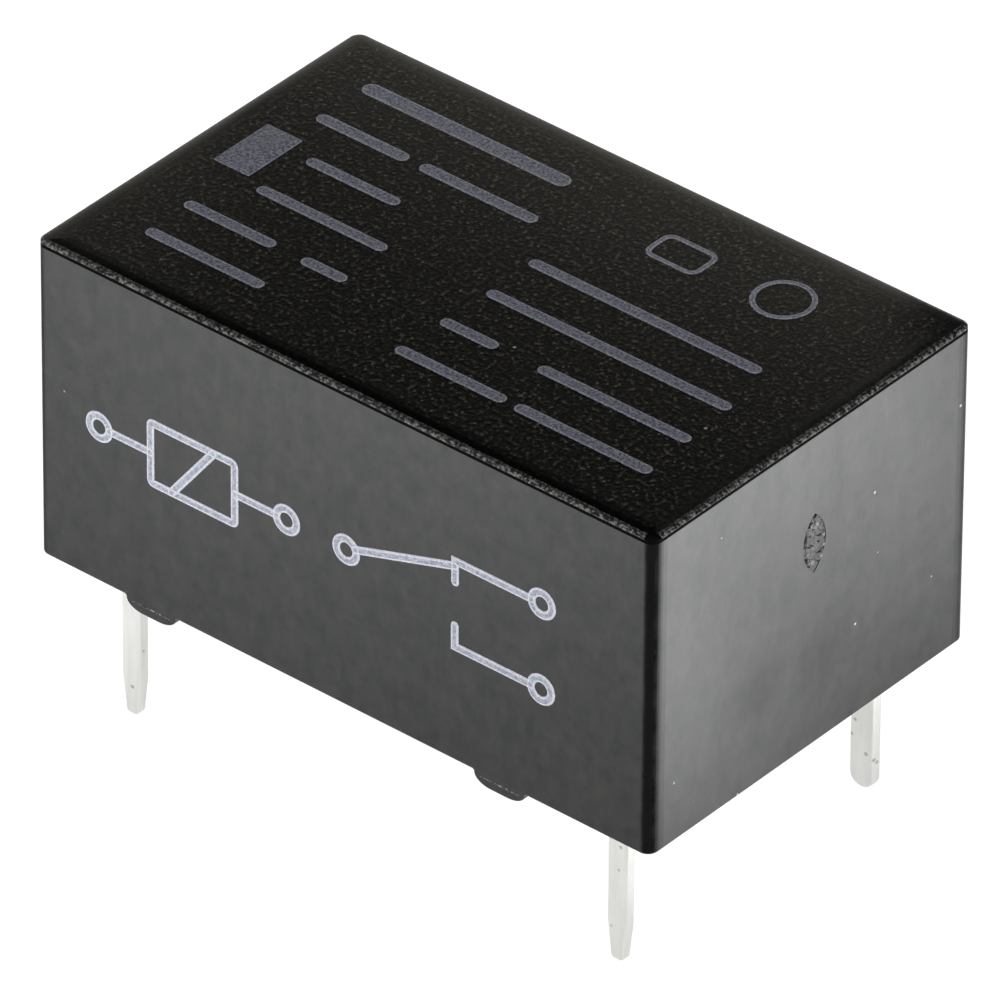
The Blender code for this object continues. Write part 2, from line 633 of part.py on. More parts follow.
def build_yoke():
    """Iron strip beside the coil, bent round its end behind the armature's eye."""
    near = YOKE_Y
    far = YOKE_Y + YOKE_THICKNESS
    end = YOKE_END_X + YOKE_THICKNESS
    centre = (end - YOKE_BEND_RADIUS, far - YOKE_BEND_RADIUS)
    outline = [(POLE_X[0], near), (YOKE_END_X, near), (YOKE_END_X, IRON_FRONT_Y),
               (end, IRON_FRONT_Y)]
    outline += arc(centre, YOKE_BEND_RADIUS, 0, 90, 6)
    outline.append((POLE_X[0], far))
    yoke = prism("yoke", outline, "Z", SEAT_Z, YOKE_TOP_Z, "soft_iron")
    smooth(yoke)
    return yoke


def build_pole_piece(name, face_y, side, tip):
    """Bent iron piece: an upright face beside the armature's tip and a foot."""
    back = face_y + side * POLE_THICKNESS
    outline = [(face_y, SEAT_Z), (tip, SEAT_Z), (tip, SEAT_Z + POLE_FOOT_HEIGHT)]
    outline.append((back, SEAT_Z + POLE_FOOT_HEIGHT))
    outline += [(back, YOKE_TOP_Z), (face_y, YOKE_TOP_Z)]
    return prism(name, outline, "X", *POLE_X, "soft_iron")


def build_pole_pieces():
    """Two pole pieces; the foot of the rear one ends at the yoke."""
    build_pole_piece("front_pole_piece", FRONT_POLE_Y, -1, IRON_FRONT_Y)
    build_pole_piece("rear_pole_piece", REAR_POLE_Y, 1, YOKE_Y - SEAT_GAP)


def build_magnet():
    """Magnet block between the pole pieces, under the armature's tip."""
    outline = rectangle((FRONT_POLE_Y + SEAT_GAP, SEAT_Z),
                        (REAR_POLE_Y - SEAT_GAP, ARMATURE_Z[0] - MAGNET_TO_ARMATURE))
    return prism("permanent_magnet", outline, "X", *POLE_X, "magnet")


def build_residual_plate():
    """Thin shim on the rear pole face, from above the magnet to the face's top."""
    outline = rectangle((RESIDUAL_Y, ARMATURE_Z[0] - MAGNET_TO_ARMATURE + SEAT_GAP),
                        (RESIDUAL_Y + RESIDUAL_THICKNESS, YOKE_TOP_Z))
    return prism("residual_plate", outline, "X", *POLE_X, "shim_metal")


def build_card():
    """Card: a hub on the armature's tab, an arm over the wall and a slotted head."""
    half_tab = ARMATURE_THICKNESS / 2
    hub_low = (TAB_X[0] - CARD_HUB_MARGIN / 2, ARMATURE_Y - half_tab - CARD_HUB_MARGIN)
    hub_high = (TAB_X[1] + CARD_HUB_MARGIN, ARMATURE_Y + half_tab + CARD_HUB_MARGIN)
    arm_x = (hub_low[0], hub_low[0] + CARD_ARM_WIDTH)
    head_y = LEAF_Y + CARD_HEAD_MARGIN
    outline = [hub_low, (hub_high[0], hub_low[1]), hub_high, (arm_x[1], hub_high[1] + CARD_HUB_MARGIN),
               (arm_x[1], head_y), (arm_x[0], head_y)]
    top = CARD_Z + CARD_THICKNESS
    card = prism("actuator_card", outline, "Z", CARD_Z, top, "card_plastic")
    tab_slot = rectangle((TAB_X[0] - CARD_TAB_FIT, ARMATURE_Y - half_tab - CARD_TAB_FIT),
                         (TAB_X[1] + CARD_TAB_FIT, ARMATURE_Y + half_tab + CARD_TAB_FIT))
    cut(card, prism("tab_slot", tab_slot, "Z", CARD_Z - MM, top + MM))
    tab_x = leaf_tab_x()
    half_leaf = LEAF_THICKNESS / 2 + CARD_SPRING_FIT
    spring_slot = rectangle((tab_x[0] - CARD_SLIDE, LEAF_Y - half_leaf),
                            (tab_x[1] + CARD_SPRING_FIT, LEAF_Y + half_leaf))
    cut(card, prism("spring_slot", spring_slot, "Z", CARD_Z - MM, top + MM))
    set_origin(card, ARMATURE_AXIS)
    return card


def leaf_tab_x():
    """Ends along X of the tab that stands up from the leaf's tip."""
    start = LEAF_TIP_X + LEAF_TAB_MARGIN
    return (start, start + LEAF_TAB_WIDTH)


def build_contact_spring():
    """Slotted leaf spring with a root on the common blade and a tab in the card."""
    tab_x = leaf_tab_x()
    root_end = LEAF_ROOT_X + LEAF_ROOT_LENGTH
    tab_top = CARD_Z + CARD_THICKNESS + SLOT_CLEARANCE
    outline = [
        (LEAF_TIP_X, LEAF_Z[0]), (LEAF_ROOT_X, LEAF_Z[0]),
        (LEAF_ROOT_X, LEAF_Z[0] - LEAF_ROOT_EXTRA), (root_end, LEAF_Z[0] - LEAF_ROOT_EXTRA),
        (root_end, LEAF_Z[1] + LEAF_ROOT_EXTRA), (LEAF_ROOT_X, LEAF_Z[1] + LEAF_ROOT_EXTRA),
        (LEAF_ROOT_X, LEAF_Z[1]), (tab_x[1], LEAF_Z[1]), (tab_x[1], tab_top),
        (tab_x[0], tab_top), (tab_x[0], LEAF_Z[1]), (LEAF_TIP_X, LEAF_Z[1]),
    ]
    low = LEAF_Y - LEAF_THICKNESS / 2
    high = LEAF_Y + LEAF_THICKNESS / 2
    spring = prism("contact_spring", outline, "Y", low, high, "spring_alloy")
    slot = rounded_rectangle(LEAF_SLOT_LENGTH, LEAF_SLOT_WIDTH, LEAF_SLOT_WIDTH / 2, 4)
    slot_x = LEAF_TIP_X + LEAF_SLOT_TO_TIP + LEAF_SLOT_LENGTH / 2
    slot = moved(slot, (slot_x, LEAF_MIDDLE_Z))
    cut(spring, prism("finger_slot", slot, "Y", low - MM, high + MM))
    set_origin(spring, SPRING_AXIS)
    return spring


def crown(width, height, steps=8):
    """Half-round section with its flat side on the first axis."""
    radius = (width ** 2 / 4 + height ** 2) / (2 * height)
    spread = math.degrees(math.asin(width / 2 / radius))
    return arc((0.0, height - radius), radius, 90 - spread, 90 + spread, steps)


def build_moving_contacts():
    """Four short crossbars along X, two on each face of the leaf."""
    faces = (("opening", -1), ("closing", 1))
    levels = (("lower", FINGER_Z[0]), ("upper", FINGER_Z[1]))
    for face_name, side in faces:
        for level_name, level in levels:
            seat = LEAF_Y + side * (LEAF_THICKNESS / 2 + SEAT_GAP)
            section = crown(MOVING_CONTACT_WIDTH, MOVING_CONTACT_HEIGHT)
            outline = [(seat + side * rise, level + across) for across, rise in section]
            name = f"{level_name}_{face_name}_contact"
            bar = prism(name, outline, "X", CONTACT_X - MOVING_CONTACT_LENGTH / 2,
                        CONTACT_X + MOVING_CONTACT_LENGTH / 2, "silver_contact")
            smooth(bar)
            set_origin(bar, SPRING_AXIS)


def build_fixed_contact(name, face_y, side):
    """Upright crossbar on a fixed blade, across both fingers of the spring."""
    section = crown(FIXED_CONTACT_WIDTH, FIXED_CONTACT_HEIGHT)
    seat = face_y + side * SEAT_GAP
    outline = [(CONTACT_X + across, seat + side * rise) for across, rise in section]
    bar = prism(name, outline, "Z", LEAF_Z[0] + FIXED_CONTACT_MARGIN,
                LEAF_Z[1] - FIXED_CONTACT_MARGIN, "silver_contact")
    smooth(bar)
    return bar


def round_pin(x, top):
    """Outline of a contact pin with a round tip, from its tip up to a level."""
    radius = CONTACT_PIN_WIDTH / 2
    tip = arc((x, radius), radius, 180, 360, 12)
    right = [(x + radius, PIN_ROUNDED_TO_Z), (x + radius, top)]
    left = [(x - radius, top), (x - radius, PIN_ROUNDED_TO_Z)]
    return tip + right + left


def round_edges(strip):
    """Round the long edges of a pin, from its tip to a level inside the resin."""
    slack = 0.01 * PIN_EDGE_RADIUS
    bm = bmesh.new()
    bm.from_mesh(strip.data)
    edges = []
    for edge in bm.edges:
        first, second = (vert.co for vert in edge.verts)
        below = max(first.z, second.z) < PIN_ROUNDED_TO_Z + slack
        if below and abs(first.y - second.y) < slack:
            edges.append(edge)
    bmesh.ops.bevel(bm, geom=edges, offset=PIN_EDGE_RADIUS, offset_type="OFFSET",
                    segments=3, profile=0.5, affect="EDGES", clamp_overlap=True)
    bm.to_mesh(strip.data)
    bm.free()


def upright_strip(name, outline, middle_y):
    """Flat blank of terminal strip in an X and Z plane, with its pin's edges rounded."""
    low = middle_y - PIN_THICKNESS / 2
    strip = prism(name, outline, "Y", low, low + PIN_THICKNESS, "tinned_copper")
    round_edges(strip)
    smooth(strip)
    return strip


def build_coil_terminal(name, x):
    """Straight blank: tapered pin, shoulder on the base and post for the wire."""
    half = COIL_PIN_WIDTH / 2
    tip = COIL_PIN_TIP_WIDTH / 2
    shoulder = COIL_SHOULDER_WIDTH / 2
    shoulder_top = SEAT_Z + COIL_SHOULDER_HEIGHT
    post_top = SEAT_Z + COIL_POST_HEIGHT
    round_corner = (tip - COIL_PIN_TIP_RADIUS, COIL_PIN_TIP_RADIUS)
    right = arc(round_corner, COIL_PIN_TIP_RADIUS, 270, 360, 4)
    right += [(half, COIL_PIN_TAPER), (half, PIN_ROUNDED_TO_Z), (half, SEAT_Z),
              (shoulder, SEAT_Z), (shoulder, shoulder_top), (half, shoulder_top),
              (half, post_top)]
    left = [(-across, level) for across, level in reversed(right)]
    return upright_strip(name, moved(right + left, (x, 0.0)), -PIN_Y)


def build_open_terminal():
    """Straight blank behind the spring, wide where it carries the contact."""
    left = -PIN_X_END - CONTACT_PIN_WIDTH / 2
    right = CONTACT_X + BLADE_END_MARGIN
    pin = round_pin(-PIN_X_END, SEAT_Z)
    outline = pin[:-2] + [(right, SEAT_Z), (right, LEAF_Z[1]), (left, LEAF_Z[1]), pin[-1]]
    terminal = upright_strip("normally_open_terminal", outline, PIN_Y)
    face = PIN_Y - PIN_THICKNESS / 2
    build_fixed_contact("normally_open_contact", face, -1)
    return terminal


def build_stepped_terminal(name, pin_x, blade, blade_y, step_x):
    """Blank bent twice: pin, flat step on the base, and a blade further forward."""
    top = SEAT_Z + TERMINAL_STEP_HEIGHT
    terminal = upright_strip(name, round_pin(pin_x, top), PIN_Y)
    step = rectangle((step_x[0], blade_y), (step_x[1], PIN_Y + PIN_THICKNESS / 2))
    join(terminal, prism("step", step, "Z", SEAT_Z, top))
    join(terminal, prism("blade", blade, "Y", blade_y, blade_y + PIN_THICKNESS))
    return terminal


def build_common_terminal():
    """Right-hand contact terminal, which carries the root of the spring."""
    right = LEAF_ROOT_X + COMMON_BLADE_WIDTH
    blade = rectangle((LEAF_ROOT_X, SEAT_Z), (right, LEAF_Z[1] + LEAF_ROOT_EXTRA))
    half = CONTACT_PIN_WIDTH / 2
    step_x = (PIN_X_END - half, PIN_X_END + half)
    return build_stepped_terminal("common_terminal", PIN_X_END, blade, COMMON_BLADE_Y, step_x)


def build_closed_terminal():
    """Middle terminal, bent under the spring, with a long arm to its contact."""
    left = CONTACT_X - BLADE_END_MARGIN
    half = TERMINAL_FOOT_WIDTH / 2
    foot = (PIN_X_MIDDLE - half, PIN_X_MIDDLE + half)
    blade = [(foot[0], SEAT_Z), (foot[1], SEAT_Z), (foot[1], LEAF_Z[1]), (left, LEAF_Z[1]),
             (left, LEAF_Z[0]), (foot[0], LEAF_Z[0])]
    build_stepped_terminal("normally_closed_terminal", PIN_X_MIDDLE, blade, CLOSED_BLADE_Y, foot)
    build_fixed_contact("normally_closed_contact", CLOSED_BLADE_Y + PIN_THICKNESS, 1)


def build_terminals():
    """The five terminals and the two fixed contacts on them."""
    build_coil_terminal("coil_terminal_left", -PIN_X_END)
    build_coil_terminal("coil_terminal_right", PIN_X_END)
    build_common_terminal()
    build_closed_terminal()
    build_open_terminal()


def build_relay():
    """Build every piece of the relay in an empty scene."""
    clear_scene()
    build_cover()
    build_base()
    build_resin()
    build_bobbin()
    build_winding()
    build_lead("coil_lead_left", -1)
    build_lead("coil_lead_right", 1)
    build_armature()
    build_pivot_pin()
    build_yoke()
    build_pole_pieces()
    build_magnet()
    build_residual_plate()
    build_card()
    build_contact_spring()
    build_moving_contacts()
    build_terminals()


build_relay()
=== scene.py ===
"""Looks of the sealed five-pin relay: finishes, print, floor, light and camera.

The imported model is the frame. The moulded cover is remade here with fine edges, the
textured top and the scar of its gate; every other solid keeps its shape and gets a
procedural finish. The printed areas carry plain strokes and shapes.
All lengths are in metres: X along the body, -Y the front wall, Z up from the pin tips.
"""

import math

import bmesh
import bpy
from mathutils import Matrix, Vector
from mathutils import noise as lumps


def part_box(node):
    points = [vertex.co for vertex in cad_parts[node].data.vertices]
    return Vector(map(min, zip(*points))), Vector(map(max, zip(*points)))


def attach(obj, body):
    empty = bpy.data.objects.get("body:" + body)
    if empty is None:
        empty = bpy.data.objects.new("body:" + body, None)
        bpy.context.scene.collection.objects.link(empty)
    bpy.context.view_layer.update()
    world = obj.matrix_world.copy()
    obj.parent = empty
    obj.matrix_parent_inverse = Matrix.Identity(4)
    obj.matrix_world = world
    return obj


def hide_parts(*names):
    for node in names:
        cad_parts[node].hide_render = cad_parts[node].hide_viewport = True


MM = 0.001

# Places closer than this count as one
SAME_PLACE = 0.001 * MM

# Range in which most of a noise lies
NOISE_LOW = 0.3
NOISE_HIGH = 0.7

# Share of a speck's radius that is full, and the blur of the choice of specks
SPECK_CORE = 0.6
SPECK_BLUR = 0.01

# Sockets of a Mix node that mixes colours
MIX_SHARE = 0
MIX_FIRST = 6
MIX_SECOND = 7
MIX_RESULT = 2

# Camera
CAMERA_AZIMUTH = math.radians(39.961)
CAMERA_ELEVATION = math.radians(35.214)
CAMERA_ROLL = math.radians(0.423)
CAMERA_DISTANCE = 338.758 * MM
CAMERA_AIM_RIGHT = -0.047 * MM
CAMERA_AIM_UP = 1.859 * MM
CAMERA_LENS = 611.6
CAMERA_SENSOR = 36.0
CAMERA_NEAR = 0.01
CAMERA_FAR = 10.0

# Cover
COVER_WALL = 0.5 * MM
CEILING_DEPTH = 0.6 * MM
CORNER_RADIUS = 0.25 * MM
CORNER_STEPS = 10
POCKET_RADIUS = 0.12 * MM
FOOT_HEIGHT = 0.3 * MM
FOOT_CENTRES = (-4.98 * MM, 4.1 * MM)
FOOT_LENGTH = 1.27 * MM
FOOT_ROOT = 0.06 * MM
FOOT_ROOT_STEPS = 3
FOOT_CORNER_LENGTH = 0.42 * MM
FOOT_CORNER_STEPS = 10
RIM_ROUND = 0.04 * MM
RIM_STEPS = 3
TOP_EDGE_WIDTH = 0.3 * MM
TOP_EDGE_HEIGHT = 0.095 * MM
TOP_EDGE_STEPS = 10
EDGE_STRIP_WIDTH = 0.05 * MM
EDGE_FADE_WIDTH = 0.12 * MM
EDGE_LINE_HEIGHT = 0.08 * MM
EDGE_LINE_DEPTH = 0.02 * MM

# Parts of the top inside its edge, as (inset where the part ends, gloss, share of grains)
CROWN_PARTS = (
    (0.17 * MM, 0.82, 0.05),
    (0.3 * MM, 0.7, 0.1),
    (0.45 * MM, 0.53, 0.4),
    (0.65 * MM, 0.42, 0.8),
)

# Finishes that take the place of those parts along the front edge and at the near corner:
# duller copies, painted shade that keeps the front of the top dark
FRONT_SHADE_FINISHES = {
    "crown_0": "front_crown",
    "crown_1": "front_crown",
    "crown_2": "front_fade",
}

# Cosine of the turn below which faces share their shading
TURN_LIMIT = math.cos(math.radians(50))

# Least share of a face's normal along one axis that makes it a flat wall
FLAT_LIMIT = 0.9999

# Gloss of the cover's parts, and the bands in which it fades in beside the dark corners; the
# low gloss of the corners, of those bands and of the top's front is painted shade
WALL_GLOSS = 0.345
TOP_GLOSS = 0.36
FRONT_SHADE_CROWN_GLOSS = 0.12
FRONT_SHADE_FADE_GLOSS = 0.2
CORNER_SHADE_GLOSS = 0.03
SHADE_FADE_GLOSSES = (0.04, 0.09, 0.17, 0.26)
FADE_PLACES = (0.31 * MM, 0.42 * MM)

# Soft spots on the +X end where the reflection is dimmed, as (centre, radius, share of the
# gloss that is lost)
WALL_DIM_SPOTS = (
    ((7.95 * MM, -1.6 * MM, 6.0 * MM), 1.3 * MM, 0.42),
    ((7.95 * MM, 0.4 * MM, 5.9 * MM), 1.3 * MM, 0.36),
)

# Mould lines at the feet
WITNESS_LENGTH = 1.05 * MM
WITNESS_STEPS = 40
WITNESS_HEIGHT = 0.045 * MM
WITNESS_PROUD = 0.014 * MM
WITNESS_LEAST_PROUD = 0.001 * MM
WITNESS_MEAN_SHARE = 0.2
WITNESS_LUMP_SHARE = 2.0
WITNESS_DROP = 0.08 * MM
WITNESS_WANDER = 0.015 * MM
WITNESS_SINK = 0.004 * MM
WITNESS_LUMP = 0.09 * MM
WITNESS_NOISE_Y = 5 * MM

# Gate scar on the +X end
GATE_WIDTH = 0.7 * MM
GATE_HEIGHT = 1.42 * MM
GATE_ARC_STEPS = 14
GATE_DEPTH = 0.01 * MM
GATE_PROUD = 0.035 * MM
GATE_BELOW_TOP = 2.72 * MM
GATE_Y = 0.05 * MM
GATE_ROWS = 34
GATE_COLUMNS = 14
GATE_TOP_SHARE = 0.485
GATE_HEIGHT_SHARE = 0.86
GATE_WIDTH_SHARE = 0.96
GATE_BORDER_SINK = 0.01 * MM
TORN_LUMP = 0.13 * MM
TORN_LEVEL = 0.55
TORN_RISE = 0.9
TORN_HOLE_LIMIT = -0.1
TORN_HOLE_LEVEL = 0.1

# Print
INK_HEIGHT = 0.012 * MM
INK_SINK = 0.004 * MM
STROKE_LIFT = 0.0007 * MM
INK_SLOPE = 0.014 * MM
INK_RIM_WIDTH = 0.036 * MM
INK_MIDDLE_DROP = 0.005 * MM
FRONT_STROKE = 0.2 * MM
FRONT_MARK_HEIGHT = 2.05 * MM
FRONT_MARK_BOTTOM = 6.55 * MM
TOP_STROKE = 0.13 * MM
MITRE_LEAST = 0.4

# Places of the two inks in a printed piece's list of materials
FILL_INK = 0
RIM_INK = 1

# Light
FLOOR_SIZE = 1.6
FLOOR_GLOW = 1.01

# Painted pools of light: spots where the floor glows brighter, as (centre, radius, strength)
FLOOR_LIGHT_POOLS = (
    ((17.0 * MM, 0.5 * MM), 9.5 * MM, 3.5),
    ((25.5 * MM, 10.5 * MM), 18.5 * MM, 5.7),
    ((-12.0 * MM, -31.5 * MM), 32.0 * MM, 2.4),
)
SUN_STRENGTH = 2.2
SUN_ANGLE = math.radians(60)
SUN_PLACE = (0.25, -0.3, 0.6)

# Panels of light, as (power in watts, length, place, target)
BACK_PANEL = (0.000118, 21.6 * MM, (-5.7 * MM, 6.6 * MM), (-5.7 * MM, 0.0))
LEFT_PANEL = (0.000026, 9.0 * MM, (-10.0 * MM, -1.5 * MM), (-4.0 * MM, -1.5 * MM))
PANEL_COLOUR = (1.0, 0.965, 0.85)
PANEL_HEIGHT = 3.0 * MM
PANEL_LEVEL = 13.2 * MM
HORIZON_HEIGHT = 0.12

# Colours
WALL_DARK = (0.0004, 0.0006, 0.001)
WALL_LIGHT = (0.013, 0.013, 0.0118)
WALL_PIT = (0.001, 0.001, 0.001)
WALL_DUST = (0.4, 0.4, 0.41)
# Corners: a dark tone that with its little gloss is painted shade, and grains of dust
CORNER_DARK = (0.004, 0.004, 0.0045)
CORNER_LIGHT = (0.0065, 0.0065, 0.0065)
CORNER_DUST = (0.16, 0.16, 0.15)
# Textured plastic: painted shade in the hollows, olive for the raised grains, which is partly
# painted light, and dark patches
HOLLOW_PAINTED_SHADE = (0.0003, 0.0003, 0.0003)
PATCH_BLACK = (0.0006, 0.0006, 0.0008)
GRAIN_OLIVE = (0.085, 0.08, 0.062)
# Painted glints: bright specks in the colour of the textured plastic
SMALL_PAINTED_GLINT = (0.07, 0.068, 0.056)
LARGE_PAINTED_GLINT = (0.24, 0.235, 0.21)
# Edge grains: a dark base, and painted highlights on the top's edge, its fading band and the
# mould lines
EDGE_DARK = (0.004, 0.004, 0.004)
EDGE_HIGHLIGHT = (0.2, 0.198, 0.185)
EDGE_FADE_HIGHLIGHT = (0.075, 0.074, 0.069)
WITNESS_HIGHLIGHT = (0.34, 0.34, 0.32)
LINE_DARK = (0.0006, 0.0006, 0.0006)
LINE_LIGHT = (0.002, 0.002, 0.002)
# Gate scar: a dark base, and painted glitter on its raised lumps
GATE_DARK = (0.003, 0.003, 0.003)
GATE_PALE_GLITTER = (0.24, 0.245, 0.24)
TIN_DULL = (0.63, 0.635, 0.61)
TIN_BRIGHT = (0.71, 0.71, 0.68)
TIN_SPECK = (0.38, 0.38, 0.36)
RESIN_DARK = (0.008, 0.008, 0.009)
RESIN_LIGHT = (0.018, 0.018, 0.019)
WIRE_DARK = (0.32, 0.09, 0.03)
WIRE_LIGHT = (0.62, 0.24, 0.09)
FLOOR_GREY = (0.17, 0.17, 0.17)
FLOOR_PALE = (0.2, 0.2, 0.2)
ROOM_PALE = (0.95, 0.95, 0.95)
ROOM_DARK = (0.03, 0.03, 0.033)

# Tints of the reflection in smooth and textured plastic; the textured plastic's raised grains
# get the full tint and its hollows less, a painted reflection
DIM_SHEEN = (0.7, 0.74, 0.78)
FULL_SHEEN = (1.0, 0.985, 0.96)
RAISED_GRAIN_PAINTED_SHEEN = (1.0, 0.98, 0.9)
NO_SHEEN = (0.0, 0.0, 0.0)


def feed(tree, socket, value):
    """Link the value to the socket if it is an output, or else set it."""
    if isinstance(value, bpy.types.NodeSocket):
        tree.links.new(value, socket)
    else:
        socket.default_value = value


def add_node(tree, kind, inputs=None, **settings):
    """Add a shader node with its settings and its inputs."""
    made = tree.nodes.new(kind)
    for name, value in settings.items():
        setattr(made, name, value)
    for name, value in (inputs or {}).items():
        feed(tree, made.inputs[name], value)
    return made


def object_point(tree, stretch=None):
    """Point in the object's own metres, stretched along its axes where asked."""
    point = add_node(tree, "ShaderNodeTexCoord").outputs["Object"]
    if stretch is None:
        return point
    mapping = add_node(tree, "ShaderNodeMapping", {"Vector": point, "Scale": stretch})
    return mapping.outputs["Vector"]


def noise(tree, size, detail=2.0, rough=0.5, stretch=None):
    """Smooth noise from 0 to 1 whose lumps are about the given size."""
    made = add_node(tree, "ShaderNodeTexNoise", {
        "Vector": object_point(tree, stretch),
        "Scale": 1.0 / size,
        "Detail": detail,
        "Roughness": rough,
    })
    return made.outputs["Fac"]


def remap(tree, value, start, end, low, high):
    """Carry a value from the range start to end over to the range low to high."""
    made = add_node(tree, "ShaderNodeMapRange", {
        "Value": value, "From Min": start, "From Max": end, "To Min": low, "To Max": high,
    })
    return made.outputs["Result"]


def spread(tree, value, low, high):
    """Carry the usual range of a noise over to the range low to high."""
    return remap(tree, value, NOISE_LOW, NOISE_HIGH, low, high)


def rise(tree, value, start, end):
    """0 up to the start, 1 from the end on, and even between them."""
    return remap(tree, value, start, end, 0.0, 1.0)


def product(tree, first, second):
    """First times second."""
    made = add_node(tree, "ShaderNodeMath", {0: first, 1: second}, operation="MULTIPLY")
    return made.outputs["Value"]


def total(tree, first, second):
    """First plus second."""
    made = add_node(tree, "ShaderNodeMath", {0: first, 1: second}, operation="ADD")
    return made.outputs["Value"]


def opaque(colour):
    """Colour with full alpha, or the socket that it comes from."""
    return (*colour, 1.0) if isinstance(colour, tuple) else colour


def mix_colour(tree, share, first, second):
    """Colour between the first and the second, by a share from 0 to 1."""
    made = add_node(tree, "ShaderNodeMix", {
        MIX_SHARE: share, MIX_FIRST: opaque(first), MIX_SECOND: opaque(second),
    }, data_type="RGBA")
    return made.outputs[MIX_RESULT]


def specks(tree, spacing, radius, share):
    """Scattered round specks: 1 in a speck and 0 beside it, in a share of the cells."""
    made = add_node(tree, "ShaderNodeTexVoronoi", {
        "Vector": object_point(tree),
        "Scale": 1.0 / spacing,
    })
    edge = radius / spacing
    spot = remap(tree, made.outputs["Distance"], SPECK_CORE * edge, edge, 1.0, 0.0)
    parts = add_node(tree, "ShaderNodeSeparateColor", {"Color": made.outputs["Color"]})
    chosen = rise(tree, parts.outputs["Red"], 1.0 - share, 1.0 + SPECK_BLUR - share)
    return product(tree, spot, chosen)


def bump(tree, height, depth, under=None):
    """Normal of a relief whose lowest and highest points are this depth apart."""
    made = add_node(tree, "ShaderNodeBump", {"Height": height, "Distance": depth})
    if under is not None:
        feed(tree, made.inputs["Normal"], under)
    return made.outputs["Normal"]


def soft_spot(tree, centre, radius, strength):
    """Round soft spot: full strength in its middle, none at its edge."""
    place = add_node(tree, "ShaderNodeVectorMath", {
        0: object_point(tree), 1: centre,
    }, operation="DISTANCE")
    made = add_node(tree, "ShaderNodeMapRange", {
        "Value": place.outputs["Value"], "From Min": 0.0, "From Max": radius,
        "To Min": strength, "To Max": 0.0,
    }, interpolation_type="SMOOTHERSTEP")
    return made.outputs["Result"]


def finish(name, specular=0.5, metallic=0.0):
    """New material with one Principled shader; returns it, its tree and its shader."""
    made = bpy.data.materials.new("look_" + name)
    made.use_nodes = True
    tree = made.node_tree
    shader = tree.nodes["Principled BSDF"]
    shader.inputs["Specular IOR Level"].default_value = specular
    shader.inputs["Metallic"].default_value = metallic
    return made, tree, shader


def paint(tree, shader, colour, roughness, normal=None):
    """Set a shader's colour and roughness, and its relief where there is one."""
    feed(tree, shader.inputs["Base Color"], colour)
    feed(tree, shader.inputs["Roughness"], roughness)
    if normal is not None:
        feed(tree, shader.inputs["Normal"], normal)


def moulded_wall(name, gloss):
    """Smooth black wall with faint flow marks, haze, soft spots of dimmer reflection and a few
    grains of dust.
    """
    made, tree, shader = finish(name, specular=gloss)
    flow = noise(tree, 1.6 * MM, detail=3.0, rough=0.6, stretch=(1.0, 1.0, 0.3))
    cloud = noise(tree, 0.5 * MM, detail=4.0, rough=0.75)
    haze = noise(tree, 0.3 * MM, detail=5.0, rough=0.75, stretch=(1.0, 1.0, 0.6))
    pits = specks(tree, spacing=1.1 * MM, radius=0.05 * MM, share=0.1)
    dust = specks(tree, spacing=0.8 * MM, radius=0.04 * MM, share=0.2)
    black = mix_colour(tree, rise(tree, cloud, 0.35, 0.65), WALL_DARK, WALL_LIGHT)
    pitted = mix_colour(tree, pits, black, WALL_PIT)
    dusty = mix_colour(tree, dust, pitted, WALL_DUST)
    sheen = mix_colour(tree, rise(tree, haze, 0.36, 0.64), DIM_SHEEN, FULL_SHEEN)
    # Soft spots where the reflection is dimmed
    for centre, radius, share in WALL_DIM_SPOTS:
        sheen = mix_colour(tree, soft_spot(tree, centre, radius, share), sheen, NO_SHEEN)
    feed(tree, shader.inputs["Specular Tint"], sheen)
    wave = bump(tree, noise(tree, 2.5 * MM, detail=1.0), 0.004 * MM)
    relief = bump(tree, noise(tree, 0.05 * MM), 0.0008 * MM, wave)
    paint(tree, shader, dusty, spread(tree, flow, 0.17, 0.3), relief)
    return made


def moulded_corner():
    """Painted shade on the upright corners, where the polished wall turns: a dull copy of the
    wall that stays evenly dark.
    """
    # Painted shade: the corner keeps little gloss
    made, tree, shader = finish("moulded_corner", specular=CORNER_SHADE_GLOSS)
    shade = noise(tree, 0.6 * MM)
    dust = specks(tree, spacing=0.7 * MM, radius=0.03 * MM, share=0.15)
    black = mix_colour(tree, shade, CORNER_DARK, CORNER_LIGHT)
    dusty = mix_colour(tree, dust, black, CORNER_DUST)
    paint(tree, shader, dusty, spread(tree, shade, 0.25, 0.4))
    return made


